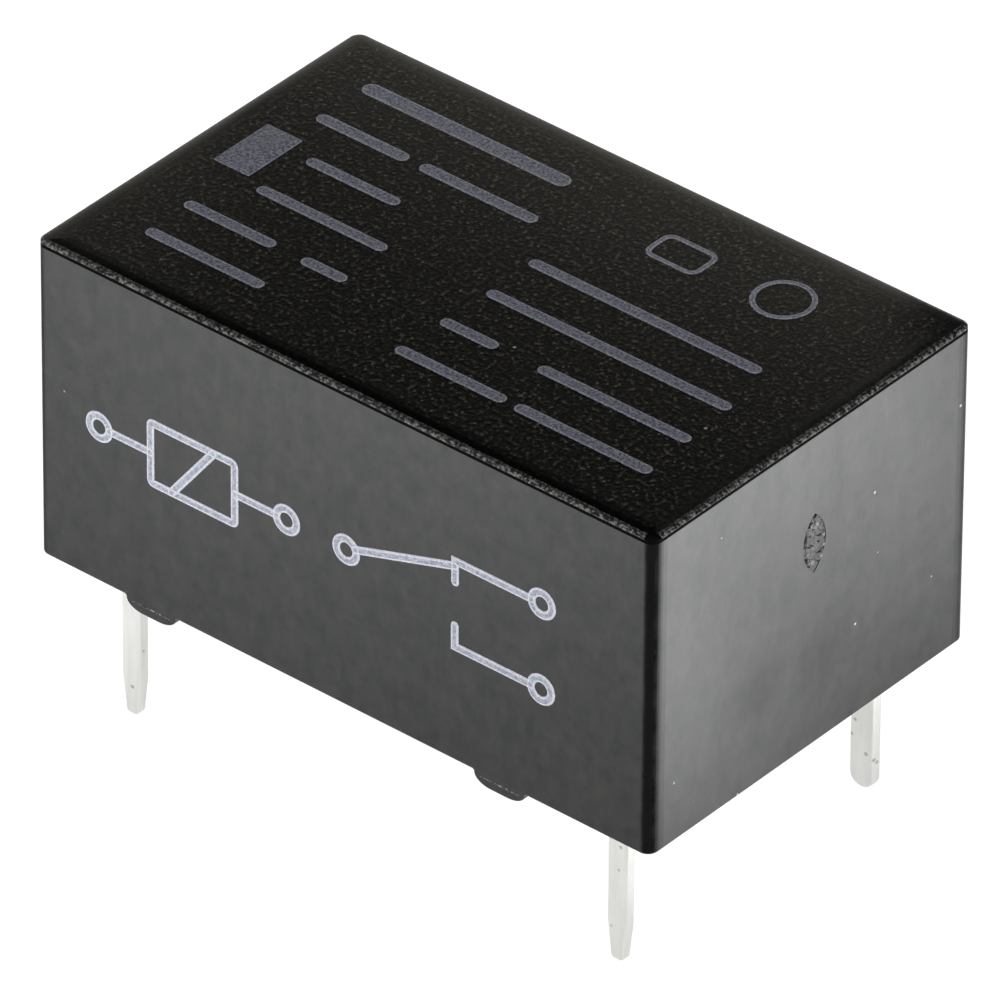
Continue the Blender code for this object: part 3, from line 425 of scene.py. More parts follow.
def eroded_plastic(name, gloss, grains):
    """Fine spark-eroded texture of dark hollows, olive grains and sparse glints.

    The share of grains runs from 0, nearly smooth and black, to 1, as on the top. More
    grains make the hollows duller and the relief rougher and deeper. Colour and reflection
    follow the relief: the hollows are painted shade, the raised olive grains are partly
    painted light, and the glints are bright specks painted into the colour.
    """
    made, tree, shader = finish(name, specular=gloss)
    grain = noise(tree, 0.1 * MM, detail=3.0, rough=0.6)
    coarse = noise(tree, 0.3 * MM, detail=3.0, rough=0.6)
    small = specks(tree, spacing=0.17 * MM, radius=0.036 * MM, share=0.35 * grains)
    large = specks(tree, spacing=0.9 * MM, radius=0.045 * MM, share=0.35 * grains)
    olive = tuple(value * grains for value in GRAIN_OLIVE)
    # Painted shade in the hollows, lighter olive on the raised grains, partly painted light
    mottle = mix_colour(tree, rise(tree, grain, 0.55, 0.7), HOLLOW_PAINTED_SHADE, olive)
    toned = mix_colour(tree, remap(tree, coarse, 0.4, 0.6, 0.0, 0.7), mottle, PATCH_BLACK)
    # Painted glints: bright specks in the colour
    painted_glinting = mix_colour(tree, small, toned, SMALL_PAINTED_GLINT)
    colour = mix_colour(tree, large, painted_glinting, LARGE_PAINTED_GLINT)
    # Painted reflection: the raised grains reflect more than the hollows
    shaded_hollow_sheen = 3 * (0.65 - 0.4 * grains,)
    sheen = mix_colour(tree, rise(tree, grain, 0.4, 0.6), shaded_hollow_sheen, RAISED_GRAIN_PAINTED_SHEEN)
    feed(tree, shader.inputs["Specular Tint"], sheen)
    roughness = spread(tree, grain, 0.34 + 0.04 * grains, 0.48 + 0.06 * grains)
    relief = bump(tree, grain, (0.003 + 0.014 * grains) * MM)
    paint(tree, shader, colour, roughness, relief)
    return made


def eroded_edge(name, size, light):
    """Raised plastic edge with a painted highlight in broken pale grains."""
    made, tree, shader = finish(name)
    grain = noise(tree, size, detail=3.0, rough=0.7)
    # Painted highlight: pale grains in the colour of the edge
    colour = mix_colour(tree, rise(tree, grain, 0.46, 0.6), EDGE_DARK, light)
    paint(tree, shader, colour, spread(tree, grain, 0.36, 0.55), bump(tree, grain, 0.01 * MM))
    return made


def shadow_line():
    """The fine step under the textured edge, which holds no light."""
    made, tree, shader = finish("shadow_line", specular=0.05)
    grain = noise(tree, 0.15 * MM)
    paint(tree, shader, mix_colour(tree, grain, LINE_DARK, LINE_LIGHT), 0.7)
    return made


def gate_scar():
    """Broken gate: coarse torn plastic, with painted glitter: pale patches on its raised
    lumps.
    """
    made, tree, shader = finish("gate_scar", specular=0.35)
    torn = noise(tree, 0.17 * MM, detail=3.0, rough=0.7)
    patch = noise(tree, 0.36 * MM)
    share = product(tree, rise(tree, torn, 0.48, 0.62),
                    remap(tree, patch, 0.46, 0.62, 0.12, 1.0))
    # Painted glitter: pale patches on the raised torn lumps
    colour = mix_colour(tree, share, GATE_DARK, GATE_PALE_GLITTER)
    paint(tree, shader, colour, spread(tree, torn, 0.2, 0.5), bump(tree, torn, 0.03 * MM))
    return made


def ink(name, dark, light, grain_size):
    """Printing ink with a mottled, slightly chalky film."""
    made, tree, shader = finish(name, specular=0.3)
    mottle = noise(tree, grain_size, detail=3.0, rough=0.7)
    colour = mix_colour(tree, rise(tree, mottle, 0.38, 0.62), dark, light)
    paint(tree, shader, colour, spread(tree, mottle, 0.5, 0.7), bump(tree, mottle, 0.006 * MM))
    return made


def tinned_metal():
    """Dull tin with a soft cast, faint drag lines and small dark specks."""
    made, tree, shader = finish("tinned_metal", metallic=1.0)
    cast = noise(tree, 0.8 * MM)
    drag = noise(tree, 0.12 * MM, stretch=(1.0, 1.0, 0.12))
    speck = specks(tree, spacing=0.27 * MM, radius=0.055 * MM, share=0.5)
    tin = mix_colour(tree, cast, TIN_DULL, TIN_BRIGHT)
    colour = mix_colour(tree, speck, tin, TIN_SPECK)
    paint(tree, shader, colour, spread(tree, drag, 0.42, 0.58), bump(tree, drag, 0.003 * MM))
    return made


def sealing_resin():
    """Glossy black casting resin with a gently uneven skin."""
    made, tree, shader = finish("sealing_resin")
    swell = noise(tree, 1.4 * MM)
    colour = mix_colour(tree, swell, RESIN_DARK, RESIN_LIGHT)
    paint(tree, shader, colour, spread(tree, swell, 0.08, 0.2), bump(tree, swell, 0.05 * MM))
    return made


def plastic(name, colour, roughness):
    """Moulded inner plastic with a light grain."""
    made, tree, shader = finish(name)
    cloud = noise(tree, 0.9 * MM, detail=3.0)
    darker = tuple(0.82 * value for value in colour)
    paint(tree, shader, mix_colour(tree, cloud, darker, colour),
          spread(tree, cloud, roughness - 0.06, roughness + 0.08),
          bump(tree, noise(tree, 0.06 * MM, detail=3.0), 0.002 * MM))
    return made


def metal(name, colour, roughness, grain=(1.0, 1.0, 1.0)):
    """Bare metal with a fine grain, drawn out where the sheet was rolled."""
    made, tree, shader = finish(name, metallic=1.0)
    line = noise(tree, 0.08 * MM, detail=3.0, rough=0.6, stretch=grain)
    darker = tuple(0.85 * value for value in colour)
    paint(tree, shader, mix_colour(tree, line, darker, colour),
          spread(tree, line, roughness - 0.08, roughness + 0.1),
          bump(tree, line, 0.001 * MM))
    return made


def enamelled_wire():
    """Copper under clear enamel, a little darker from turn to turn."""
    made, tree, shader = finish("enamelled_wire", metallic=0.7)
    turn = noise(tree, 0.1 * MM, stretch=(1.0, 0.2, 0.2))
    colour = mix_colour(tree, turn, WIRE_DARK, WIRE_LIGHT)
    paint(tree, shader, colour, spread(tree, turn, 0.25, 0.4))
    shader.inputs["Coat Weight"].default_value = 0.6
    shader.inputs["Coat Roughness"].default_value = 0.12
    return made


def frame_finishes():
    """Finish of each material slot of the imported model."""
    rolled = (0.15, 1.0, 1.0)
    return {
        "cover_plastic": moulded_wall("moulded_side", WALL_GLOSS),
        "base_plastic": plastic("base_plastic", (0.02, 0.02, 0.022), 0.5),
        "resin": sealing_resin(),
        "bobbin_plastic": plastic("bobbin_plastic", (0.62, 0.6, 0.54), 0.5),
        "card_plastic": plastic("card_plastic", (0.75, 0.74, 0.7), 0.5),
        "tinned_copper": tinned_metal(),
        "enamelled_wire": enamelled_wire(),
        "soft_iron": metal("soft_iron", (0.5, 0.49, 0.47), 0.42, rolled),
        "steel_pin": metal("steel_pin", (0.6, 0.6, 0.6), 0.27),
        "magnet": metal("magnet", (0.18, 0.18, 0.19), 0.5),
        "shim_metal": metal("shim_metal", (0.7, 0.6, 0.42), 0.36, rolled),
        "spring_alloy": metal("spring_alloy", (0.78, 0.5, 0.26), 0.32, rolled),
        "silver_contact": metal("silver_contact", (0.86, 0.85, 0.82), 0.3),
    }


def dress_frame(nodes, finishes):
    """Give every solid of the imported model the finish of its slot."""
    for item in nodes.values():
        for place in item.material_slots:
            place.material = finishes[place.material.name.split(".")[0]]


def arc(centre, radius, start, end, steps, height=None):
    """Points of an arc, with both ends; in degrees. A height makes it part of an oval."""
    tall = radius if height is None else height
    points = []
    for step in range(steps + 1):
        angle = math.radians(start + (end - start) * step / steps)
        points.append((centre[0] + radius * math.cos(angle),
                       centre[1] + tall * math.sin(angle)))
    return points


def object_from(name, bm, materials):
    """Turn a bmesh into an object in the scene, smooth shaded."""
    mesh = bpy.data.meshes.new(name)
    bm.to_mesh(mesh)
    bm.free()
    for made in materials:
        mesh.materials.append(made)
    mesh.shade_smooth()
    item = bpy.data.objects.new(name, mesh)
    bpy.context.scene.collection.objects.link(item)
    return item


def is_flat_wall(face):
    """True for the large plane faces, which lie square to one axis."""
    return max(abs(value) for value in face.normal) > FLAT_LIMIT


def steady_normals(item):
    """Let the plane faces rule the shading, so that only the edges turn the light."""
    mesh = item.data
    around = [[] for _ in mesh.vertices]
    for face in mesh.polygons:
        for index in face.vertices:
            around[index].append(face)
    normals = []
    for face in mesh.polygons:
        for index in face.vertices:
            if is_flat_wall(face):
                normals.append(face.normal.copy())
                continue
            near = [other for other in around[index]
                    if other.normal.dot(face.normal) > TURN_LIMIT]
            flat = [other for other in near if is_flat_wall(other)]
            summed = Vector()
            for other in flat or near:
                summed += other.normal * (1.0 if flat else other.area)
            normals.append(summed.normalized())
    mesh.normals_split_custom_set(normals)


def foot_profile():
    """Depth below the rim along X, as (x, depth), with a round root and oval corners."""
    points = []
    for centre in FOOT_CENTRES:
        left = centre - FOOT_LENGTH / 2
        half = arc((left - FOOT_ROOT, FOOT_ROOT), FOOT_ROOT, -90, 0, FOOT_ROOT_STEPS)
        half += arc((left + FOOT_CORNER_LENGTH, FOOT_ROOT), FOOT_CORNER_LENGTH, 180, 90,
                    FOOT_CORNER_STEPS, FOOT_HEIGHT - FOOT_ROOT)[1:]
        points += half
        points += [(2 * centre - x, depth) for x, depth in reversed(half)]
    return points


def plan_ring(half_x, half_y, radius, level, drops, follow_feet):
    """One ring of the cover: a rounded rectangle, its long sides split at the feet."""
    corners = []
    for side_x, side_y, start in ((1, -1, -90), (1, 1, 0), (-1, 1, 90), (-1, -1, 180)):
        centre = (side_x * (half_x - radius), side_y * (half_y - radius))
        corners.append([(x, y, level) for x, y in
                        arc(centre, radius, start, start + 90, CORNER_STEPS)])
    back = []
    front = []
    for x, depth in drops:
        z = level - depth if follow_feet else level
        front.append((x, -half_y, z))
        back.append((x, half_y, z))
    back.reverse()
    near_corner = [half_y - place for place in FADE_PLACES]
    right = [(half_x, y, level) for y in [-y for y in near_corner] + near_corner[::-1]]
    left = [(-x, y, z) for x, y, z in reversed(right)]
    return (corners[0] + right + corners[1] + back
            + corners[2] + left + corners[3] + front)


def cover_bands(box):
    """Rings of the cover from its ceiling round the rim to its top, as (ring, finish)."""
    low, high = box
    half_x = (high.x - low.x) / 2
    half_y = (high.y - low.y) / 2
    rim = low.z + FOOT_HEIGHT
    drops = foot_profile()
    edge_z = high.z - TOP_EDGE_HEIGHT
    line_z = edge_z - EDGE_LINE_HEIGHT

    def ring(inset, level, finish_name, follow_feet=False):
        """Ring this far inside the cover's outline, with the finish of the band above it."""
        radius = max(CORNER_RADIUS - inset, POCKET_RADIUS)
        outline = plan_ring(half_x - inset, half_y - inset, radius, level, drops, follow_feet)
        return outline, finish_name

    bands = [
        ring(COVER_WALL, high.z - CEILING_DEPTH, "side"),
        ring(COVER_WALL, rim + RIM_ROUND, "side", True),
        ring(COVER_WALL - RIM_ROUND, rim, "side", True),
    ]
    for x, z in arc((RIM_ROUND, RIM_ROUND), RIM_ROUND, 270, 180, RIM_STEPS):
        bands.append(ring(x, rim + z, "side", True))
    bands += [
        ring(0.0, line_z, "line"),
        ring(EDGE_LINE_DEPTH, line_z + EDGE_LINE_DEPTH, "line"),
        ring(EDGE_LINE_DEPTH, edge_z - EDGE_LINE_DEPTH / 2, "line"),
    ]
    curve = arc((TOP_EDGE_WIDTH, 0.0), TOP_EDGE_WIDTH, 180, 90, TOP_EDGE_STEPS,
                TOP_EDGE_HEIGHT)
    curve += [(end, TOP_EDGE_HEIGHT) for end, _, _ in CROWN_PARTS
              if end > TOP_EDGE_WIDTH + SAME_PLACE]
    for x, z in curve:
        bands.append(ring(x, edge_z + z, crown_finish(x)))
    return bands


def crown_finish(inset):
    """Name of the finish that starts at this distance inside the top's outline."""
    if inset < EDGE_STRIP_WIDTH:
        return "edge"
    if inset < EDGE_FADE_WIDTH:
        return "edge_fade"
    for number, (end, _, _) in enumerate(CROWN_PARTS):
        if inset < end - SAME_PLACE:
            return f"crown_{number}"
    return "top"


def shaded_front_finish(name, place, front_start):
    """Name of a face's finish, with painted shade: the top's edge is dark at the near corner
    and dull in front.
    """
    at_near_corner = place < CORNER_STEPS
    # Painted shade at the near corner: the edge takes the dark finish of the step
    if at_near_corner and name in ("edge", "edge_fade"):
        return "line"
    if at_near_corner or place >= front_start:
        return FRONT_SHADE_FINISHES.get(name, name)
    return name


def cover_mesh(box, finishes):
    """Closed mesh of the cover, with the finish of each face, without its gate scar."""
    names = list(finishes)
    bm = bmesh.new()
    rows = []
    for outline, finish_name in cover_bands(box):
        rows.append(([bm.verts.new(point) for point in outline], finish_name))
    count = len(rows[0][0])

    # The tallest band is the wall itself, whose finish changes round the corners
    upright = max(range(len(rows) - 1),
                  key=lambda k: rows[k + 1][0][0].co.z - rows[k][0][0].co.z)
    turning = wall_finishes(count)
    front_start = corner_starts(count)[3] + CORNER_STEPS
    for k in range(len(rows) - 1):
        lower, finish_name = rows[k]
        upper = rows[k + 1][0]
        for i in range(count):
            j = (i + 1) % count
            face = bm.faces.new((lower[i], lower[j], upper[j], upper[i]))
            name = turning[i] if k == upright else finish_name
            face.material_index = names.index(shaded_front_finish(name, i, front_start))
    ceiling = bm.faces.new(list(reversed(rows[0][0])))
    ceiling.material_index = names.index("side")
    top = bm.faces.new(rows[-1][0])
    top.material_index = names.index("top")
    bmesh.ops.recalc_face_normals(bm, faces=bm.faces[:])
    return object_from("cover_shell", bm, finishes.values())


def corner_starts(count):
    """Index of the first point of each of the four corners in a ring of the cover."""
    corner = CORNER_STEPS + 1
    end = 2 * len(FADE_PLACES)
    side = (count - 4 * corner - 2 * end) // 2
    return (0, corner + end, 2 * corner + end + side, 3 * corner + 2 * end + side)


def wall_finishes(count):
    """Finish of each face round the walls: painted shade on the corners, dark copies of the
    wall that fade into the end walls.
    """
    # From a long wall round its corner to the end wall; the corner and fade finishes are
    # painted shade
    across = ["fade_3", "fade_1"] + 4 * ["corner"] + 2 * ["fade_0"] + 2 * ["fade_1"]
    across += ["fade_2", "fade_3"]
    names = count * ["side"]
    for number, start in enumerate(corner_starts(count)):
        if number % 2:
            start -= len(FADE_PLACES)
        for step, name in enumerate(reversed(across) if number % 2 else across):
            names[start + step] = name
    return names


def lens_radius():
    """Radius of the two equal arcs that bound the gate."""
    return (GATE_WIDTH ** 2 + GATE_HEIGHT ** 2) / (4 * GATE_WIDTH)


def lens_outline():
    """Outline of the gate: two equal arcs that meet in a point above and below."""
    radius = lens_radius()
    reach = math.degrees(math.asin(GATE_HEIGHT / 2 / radius))
    right = arc((GATE_WIDTH / 2 - radius, 0.0), radius, -reach, reach, GATE_ARC_STEPS)
    left = arc((radius - GATE_WIDTH / 2, 0.0), radius, 180 - reach, 180 + reach,
               GATE_ARC_STEPS)
    return right[:-1] + left[:-1]


def gate_cutter(high, inner):
    """Lens-shaped prism that hollows out the gate; the hollow takes the inner finish."""
    bm = bmesh.new()
    rows = []
    for x in (high.x - GATE_DEPTH, high.x + GATE_DEPTH):
        rows.append([bm.verts.new((x, GATE_Y + y, high.z - GATE_BELOW_TOP + z))
                     for y, z in lens_outline()])
    for i in range(len(rows[0])):
        j = (i + 1) % len(rows[0])
        bm.faces.new((rows[0][i], rows[0][j], rows[1][j], rows[1][i]))
    bm.faces.new(rows[0])
    bm.faces.new(rows[1])
    bmesh.ops.recalc_face_normals(bm, faces=bm.faces[:])
    return object_from("gate_cutter", bm, [inner])


def torn_height(y, z):
    """How far the torn plastic stands out of the wall at a place in the gate."""
    lump = lumps.noise(Vector((0.0, y, z)) / TORN_LUMP)
    if lump > TORN_HOLE_LIMIT:
        return GATE_PROUD * (TORN_LEVEL + TORN_RISE * lump)
    return GATE_PROUD * TORN_HOLE_LEVEL


def torn_grid(bm, high):
    """Rows of points over the gate, its border sunk into the hollow."""
    radius = lens_radius()
    grid = []
    for i in range(GATE_ROWS + 1):
        z = GATE_HEIGHT * (GATE_TOP_SHARE - GATE_HEIGHT_SHARE * i / GATE_ROWS)
        half = math.sqrt(radius ** 2 - z ** 2) - radius + GATE_WIDTH / 2
        row = []
        for j in range(GATE_COLUMNS + 1):
            y = GATE_WIDTH_SHARE * half * (2 * j / GATE_COLUMNS - 1)
            on_border = i in (0, GATE_ROWS) or j in (0, GATE_COLUMNS)
            x = -GATE_DEPTH - GATE_BORDER_SINK if on_border else torn_height(y, z)
            row.append(bm.verts.new((high.x + x, GATE_Y + y,
                                     high.z - GATE_BELOW_TOP + z)))
        grid.append(row)
    return grid


def build_gate_scar(high):
    """Lumpy torn plastic in the gate's hollow, which stands a little proud of the wall."""
    bm = bmesh.new()
    grid = torn_grid(bm, high)
    for upper, lower in zip(grid, grid[1:]):
        for j in range(GATE_COLUMNS):
            bm.faces.new((upper[j], lower[j], lower[j + 1], upper[j + 1]))
    border = grid[0] + [row[-1] for row in grid[1:]]
    border += grid[-1][-2::-1] + [row[0] for row in grid[-2:0:-1]]
    bm.faces.new(border)
    bmesh.ops.remove_doubles(bm, verts=bm.verts[:], dist=SAME_PLACE)
    bmesh.ops.recalc_face_normals(bm, faces=bm.faces[:])
    item = object_from("gate_scar", bm, [gate_scar()])
    item.data.shade_flat()
    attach(item, "housing")


def add_witness_line(bm, box, centre, side):
    """Add one three-sided ridge along a long wall, flat at its ends."""
    low, high = box
    wall = side * high.y
    rows = []
    for step in range(WITNESS_STEPS + 1):
        x = centre + WITNESS_LENGTH * (step / WITNESS_STEPS - 0.5)
        lump = lumps.noise(Vector((x, side * WITNESS_NOISE_Y, 0.0)) / WITNESS_LUMP)
        share = WITNESS_MEAN_SHARE + WITNESS_LUMP_SHARE * lump
        proud = WITNESS_PROUD * share if 0 < step < WITNESS_STEPS else 0.0
        z = low.z + FOOT_HEIGHT - WITNESS_DROP + WITNESS_WANDER * lump
        rows.append([bm.verts.new(place) for place in (
            (x, wall - side * WITNESS_SINK, z + WITNESS_HEIGHT / 2),
            (x, wall + side * max(proud, WITNESS_LEAST_PROUD), z),
            (x, wall - side * WITNESS_SINK, z - WITNESS_HEIGHT / 2),
        )])
    for first, second in zip(rows, rows[1:]):
        for k in range(3):
            after = (k + 1) % 3
            bm.faces.new((first[k], second[k], second[after], first[after]))
    bm.faces.new(rows[0])
    bm.faces.new(rows[-1])


def build_witness_lines(box):
    """Fine broken ridge across the root of each foot, left by the mould."""
    bm = bmesh.new()
    for centre in FOOT_CENTRES:
        for side in (-1, 1):
            add_witness_line(bm, box, centre, side)
    bmesh.ops.recalc_face_normals(bm, faces=bm.faces[:])
    # Painted highlight: pale grains on the mould lines
    item = object_from("witness_lines", bm,
                       [eroded_edge("witness_line", 0.07 * MM, WITNESS_HIGHLIGHT)])
    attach(item, "housing")


def cut(item, cutter):
    """Take the cutter out of the item and remove the cutter."""
    change = item.modifiers.new("cut", "BOOLEAN")
    change.operation = "DIFFERENCE"
    change.solver = "EXACT"
    change.material_mode = "TRANSFER"
    change.object = cutter
    scene_state = bpy.context.evaluated_depsgraph_get()
    mesh = bpy.data.meshes.new_from_object(item.evaluated_get(scene_state))
    item.modifiers.clear()
    item.data = mesh
    bpy.data.objects.remove(cutter)


def cover_finishes(side):
    """Finish of each part of the cover, by the names that its faces use."""
    finishes = {
        "side": side,
        # Painted shade: the dull dark corners
        "corner": moulded_corner(),
        "top": eroded_plastic("eroded_top", TOP_GLOSS, 1.0),
        # Painted shade: duller copies of the top along its front edge
        "front_crown": eroded_plastic("eroded_front", FRONT_SHADE_CROWN_GLOSS, 0.05),
        "front_fade": eroded_plastic("eroded_front_fade", FRONT_SHADE_FADE_GLOSS, 0.4),
        # Painted highlights on the top's edge
        "edge": eroded_edge("eroded_edge", 0.08 * MM, EDGE_HIGHLIGHT),
        "edge_fade": eroded_edge("eroded_edge_fade", 0.08 * MM, EDGE_FADE_HIGHLIGHT),
        "line": shadow_line(),
    }
    for number, (_, gloss, grains) in enumerate(CROWN_PARTS):
        name = f"crown_{number}"
        finishes[name] = eroded_plastic("eroded_" + name, gloss, grains)
    # Painted shade: dulled copies of the wall in the bands beside the corners
    for number, gloss in enumerate(SHADE_FADE_GLOSSES):
        name = f"fade_{number}"
        finishes[name] = moulded_wall("moulded_" + name, gloss)
    return finishes


def build_cover(side):
    """Cover with feet, textured top and dark edge line, its gate scar and mould lines."""
    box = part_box("cover")
    finishes = cover_finishes(side)
    cover = cover_mesh(box, finishes)
    cut(cover, gate_cutter(box[1], finishes["fade_3"]))
    steady_normals(cover)
    build_gate_scar(box[1])
    build_witness_lines(box)
    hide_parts("cover")
    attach(cover, "housing")


def mitres(points, closed):
    """Offset direction at each point of a stroke, long enough to keep its width."""
    count = len(points)
    found = []
    for i in range(count):
        before = points[i - 1] if closed or i > 0 else None
        after = points[(i + 1) % count] if closed or i < count - 1 else None
        here = points[i]
        ways = []
        if before is not None:
            ways.append((here - before).normalized())
        if after is not None:
            ways.append((after - here).normalized())
        normals = [Vector((-way.y, way.x)) for way in ways]
        middle = sum(normals, Vector((0.0, 0.0))).normalized()
        found.append(middle / max(middle.dot(normals[0]), MITRE_LEAST))
    return found


def add_stroke(bm, points, width, closed, lift=0.0):
    """Add one pen stroke in the XY plane: round-ended, with a rim round a lower middle."""
    points = [Vector(point) for point in points]
    half = width / 2
    height = INK_HEIGHT + lift
    levels = (
        (half, -INK_SINK),
        (half - INK_SLOPE, height),
        (half - INK_SLOPE - INK_RIM_WIDTH, height),
        (half - 2 * INK_SLOPE - INK_RIM_WIDTH, height - INK_MIDDLE_DROP),
    )
    across = [(-offset, level) for offset, level in levels] + list(reversed(levels))
    rows = []
    for point, side in zip(points, mitres(points, closed)):
        row = []
        for offset, level in across:
            place = point + side * offset
            row.append(bm.verts.new((place.x, place.y, level)))
        rows.append(row)
    pairs = list(zip(rows, rows[1:]))
    if closed:
        pairs.append((rows[-1], rows[0]))

    # Strips 2 to 4 of the stroke are its lower middle and the slopes down to it
    for first, second in pairs:
        for k in range(len(across) - 1):
            face = bm.faces.new((first[k], first[k + 1], second[k + 1], second[k]))
            face.material_index = FILL_INK if 2 <= k <= 4 else RIM_INK
    if not closed:
        round_end(bm, points[0], points[0] - points[1], rows[0], levels)
        round_end(bm, points[-1], points[-1] - points[-2], rows[-1][::-1], levels)


def round_end(bm, centre, way, row, levels):
    """Close a stroke with half a disc; the row runs across it, seen from outside."""
    steps = 8
    way = way.normalized()
    start = Vector((row[0].co.x, row[0].co.y)) - centre
    start.normalize()
    arcs = []
    for k, (radius, level) in enumerate(levels):
        ring = [row[k]]
        for step in range(1, steps):
            angle = math.pi * step / steps
            place = centre + (start * math.cos(angle) + way * math.sin(angle)) * radius
            ring.append(bm.verts.new((place.x, place.y, level)))
        ring.append(row[-1 - k])
        arcs.append(ring)
    for number, (outer, inner) in enumerate(zip(arcs, arcs[1:])):
        for k in range(steps):
            face = bm.faces.new((outer[k], outer[k + 1], inner[k + 1], inner[k]))
            face.material_index = RIM_INK if number < 2 else FILL_INK
    bm.faces.new(arcs[-1])


def circle(centre, radius, steps=28):
    """Closed ring of points."""
    return arc(centre, radius, 0, 360, steps)[:-1]


def box_path(low, high, radius):
    """Closed rectangle with round corners, between two corners."""
    steps = 4
    points = []
    for x, y, side_x, side_y, start in (
            (high[0], low[1], 1, -1, -90), (high[0], high[1], 1, 1, 0),
            (low[0], high[1], -1, 1, 90), (low[0], low[1], -1, -1, 180)):
        centre = (x - side_x * radius, y - side_y * radius)
        points += arc(centre, radius, start, start + 90, steps)
    return points


def front_diagram():
    """Coil and changeover contact as plain strokes, as (points, closed)."""
    high = FRONT_MARK_HEIGHT
    middle = high / 2
    ring = 0.26 * MM
    coil_left, coil_right = -4.95 * MM, -2.75 * MM
    coil_low, coil_high = 0.3 * MM, high - 0.3 * MM
    contact_x, lead_x, end_x = 2.95 * MM, 4.9 * MM, 5.16 * MM
    return [
        (circle((-6.3 * MM, middle), ring), True),
        ([(-6.04 * MM, middle), (coil_left, middle)], False),
        (box_path((coil_left, coil_low), (coil_right, coil_high), 0.08 * MM), True),
        ([(-4.4 * MM, coil_low), (-3.3 * MM, coil_high)], False),
        ([(coil_right, middle), (-1.66 * MM, middle)], False),
        (circle((-1.4 * MM, middle), ring), True),
        (circle((0.15 * MM, middle), ring), True),
        ([(0.38 * MM, middle + 0.1 * MM), (contact_x, high - 0.12 * MM)], False),
        ([(contact_x, high - 0.5 * MM), (contact_x, high), (lead_x, high)], False),
        (circle((end_x, high), ring), True),
        ([(contact_x, 0.5 * MM), (contact_x, 0.0), (lead_x, 0.0)], False),
        (circle((end_x, 0.0), ring), True),
    ]


def print_object(name, bm, inks):
    """Turn the strokes into a printed piece, which its caller attaches to the cover."""
    bmesh.ops.recalc_face_normals(bm, faces=bm.faces[:])
    item = object_from(name, bm, inks)
    return item


def print_front(inks):
    """Connection diagram on the front wall."""
    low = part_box("cover")[0]
    bm = bmesh.new()
    for i, (points, closed) in enumerate(front_diagram()):
        add_stroke(bm, points, FRONT_STROKE, closed, STROKE_LIFT * i)
    for vert in bm.verts:
        x, y, z = vert.co
        vert.co = (x, low.y - z, FRONT_MARK_BOTTOM + y)
    item = print_object("front_print", bm, inks)
    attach(item, "housing")


def top_bars():
    """Plain bars on the top, as (start x, end x, y, width)."""
    bars = (
        (-6.3, -1.35, 3.4, 0.42),
        (-6.35, -4.3, 1.98, 0.32), (-3.65, -0.95, 1.98, 0.32),
        (-5.5, -3.4, 0.67, 0.3),
        (-5.6, -2.55, -0.72, 0.3),
        (-6.35, -4.3, -2.05, 0.3), (-3.3, -2.45, -2.05, 0.3),
        (-6.3, -3.55, -3.27, 0.3),
        (0.15, 5.75, 0.83, 0.3),
        (0.2, 6.1, -0.52, 0.3),
        (0.15, 1.3, -1.87, 0.3), (2.65, 6.2, -1.87, 0.3),
        (0.1, 2.6, -3.17, 0.3), (3.15, 6.3, -3.17, 0.3),
    )
    return [tuple(value * MM for value in bar) for bar in bars]


def top_figures():
    """Two plain figures beside the bars, as (points, closed)."""
    panel = box_path((1.5 * MM, 2.55 * MM), (2.75 * MM, 3.35 * MM), 0.2 * MM)
    ring = circle((4.65 * MM, 3.05 * MM), 0.62 * MM, 40)
    return [(panel, True), (ring, True)]


def print_top(inks):
    """Plain bars and two plain figures on the textured top."""
    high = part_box("cover")[1]
    bm = bmesh.new()
    for start, end, y, width in top_bars():
        add_stroke(bm, [(start, y), (end, y)], width, False)
    for points, closed in top_figures():
        add_stroke(bm, points, TOP_STROKE, closed)
    for vert in bm.verts:
        vert.co.z += high.z
    item = print_object("top_print", bm, inks)
    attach(item, "housing")


def print_orientation_mark(inks):
    """Solid rectangle that shows which end the coil pins are at."""
    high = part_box("cover")[1]
    bm = bmesh.new()
    outline = box_path((-7.09 * MM, -0.55 * MM), (-6.14 * MM, 1.13 * MM), 0.05 * MM)
    lower = [bm.verts.new((x, y, high.z - INK_SINK)) for x, y in outline]
    inner = box_path((-7.06 * MM, -0.52 * MM), (-6.17 * MM, 1.1 * MM), 0.03 * MM)
    upper = [bm.verts.new((x, y, high.z + INK_HEIGHT)) for x, y in inner]
    for i in range(len(lower)):
        j = (i + 1) % len(lower)
        face = bm.faces.new((lower[i], lower[j], upper[j], upper[i]))
        face.material_index = RIM_INK
    bm.faces.new(upper)
    item = print_object("orientation_mark", bm, inks)
    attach(item, "housing")


def build_print():
    """All printed areas of the cover."""
    bright = ink("ink_front", (0.2, 0.22, 0.27), (0.46, 0.48, 0.57), 0.07 * MM)
    bright_rim = ink("ink_front_edge", (0.46, 0.47, 0.53), (0.68, 0.69, 0.75), 0.06 * MM)
    dull = ink("ink_top", (0.045, 0.047, 0.06), (0.2, 0.206, 0.25), 0.06 * MM)
    dull_rim = ink("ink_top_edge", (0.1, 0.1, 0.125), (0.28, 0.28, 0.33), 0.05 * MM)
    print_front([bright, bright_rim])
    print_top([dull, dull_rim])
    print_orientation_mark([dull, dull_rim])


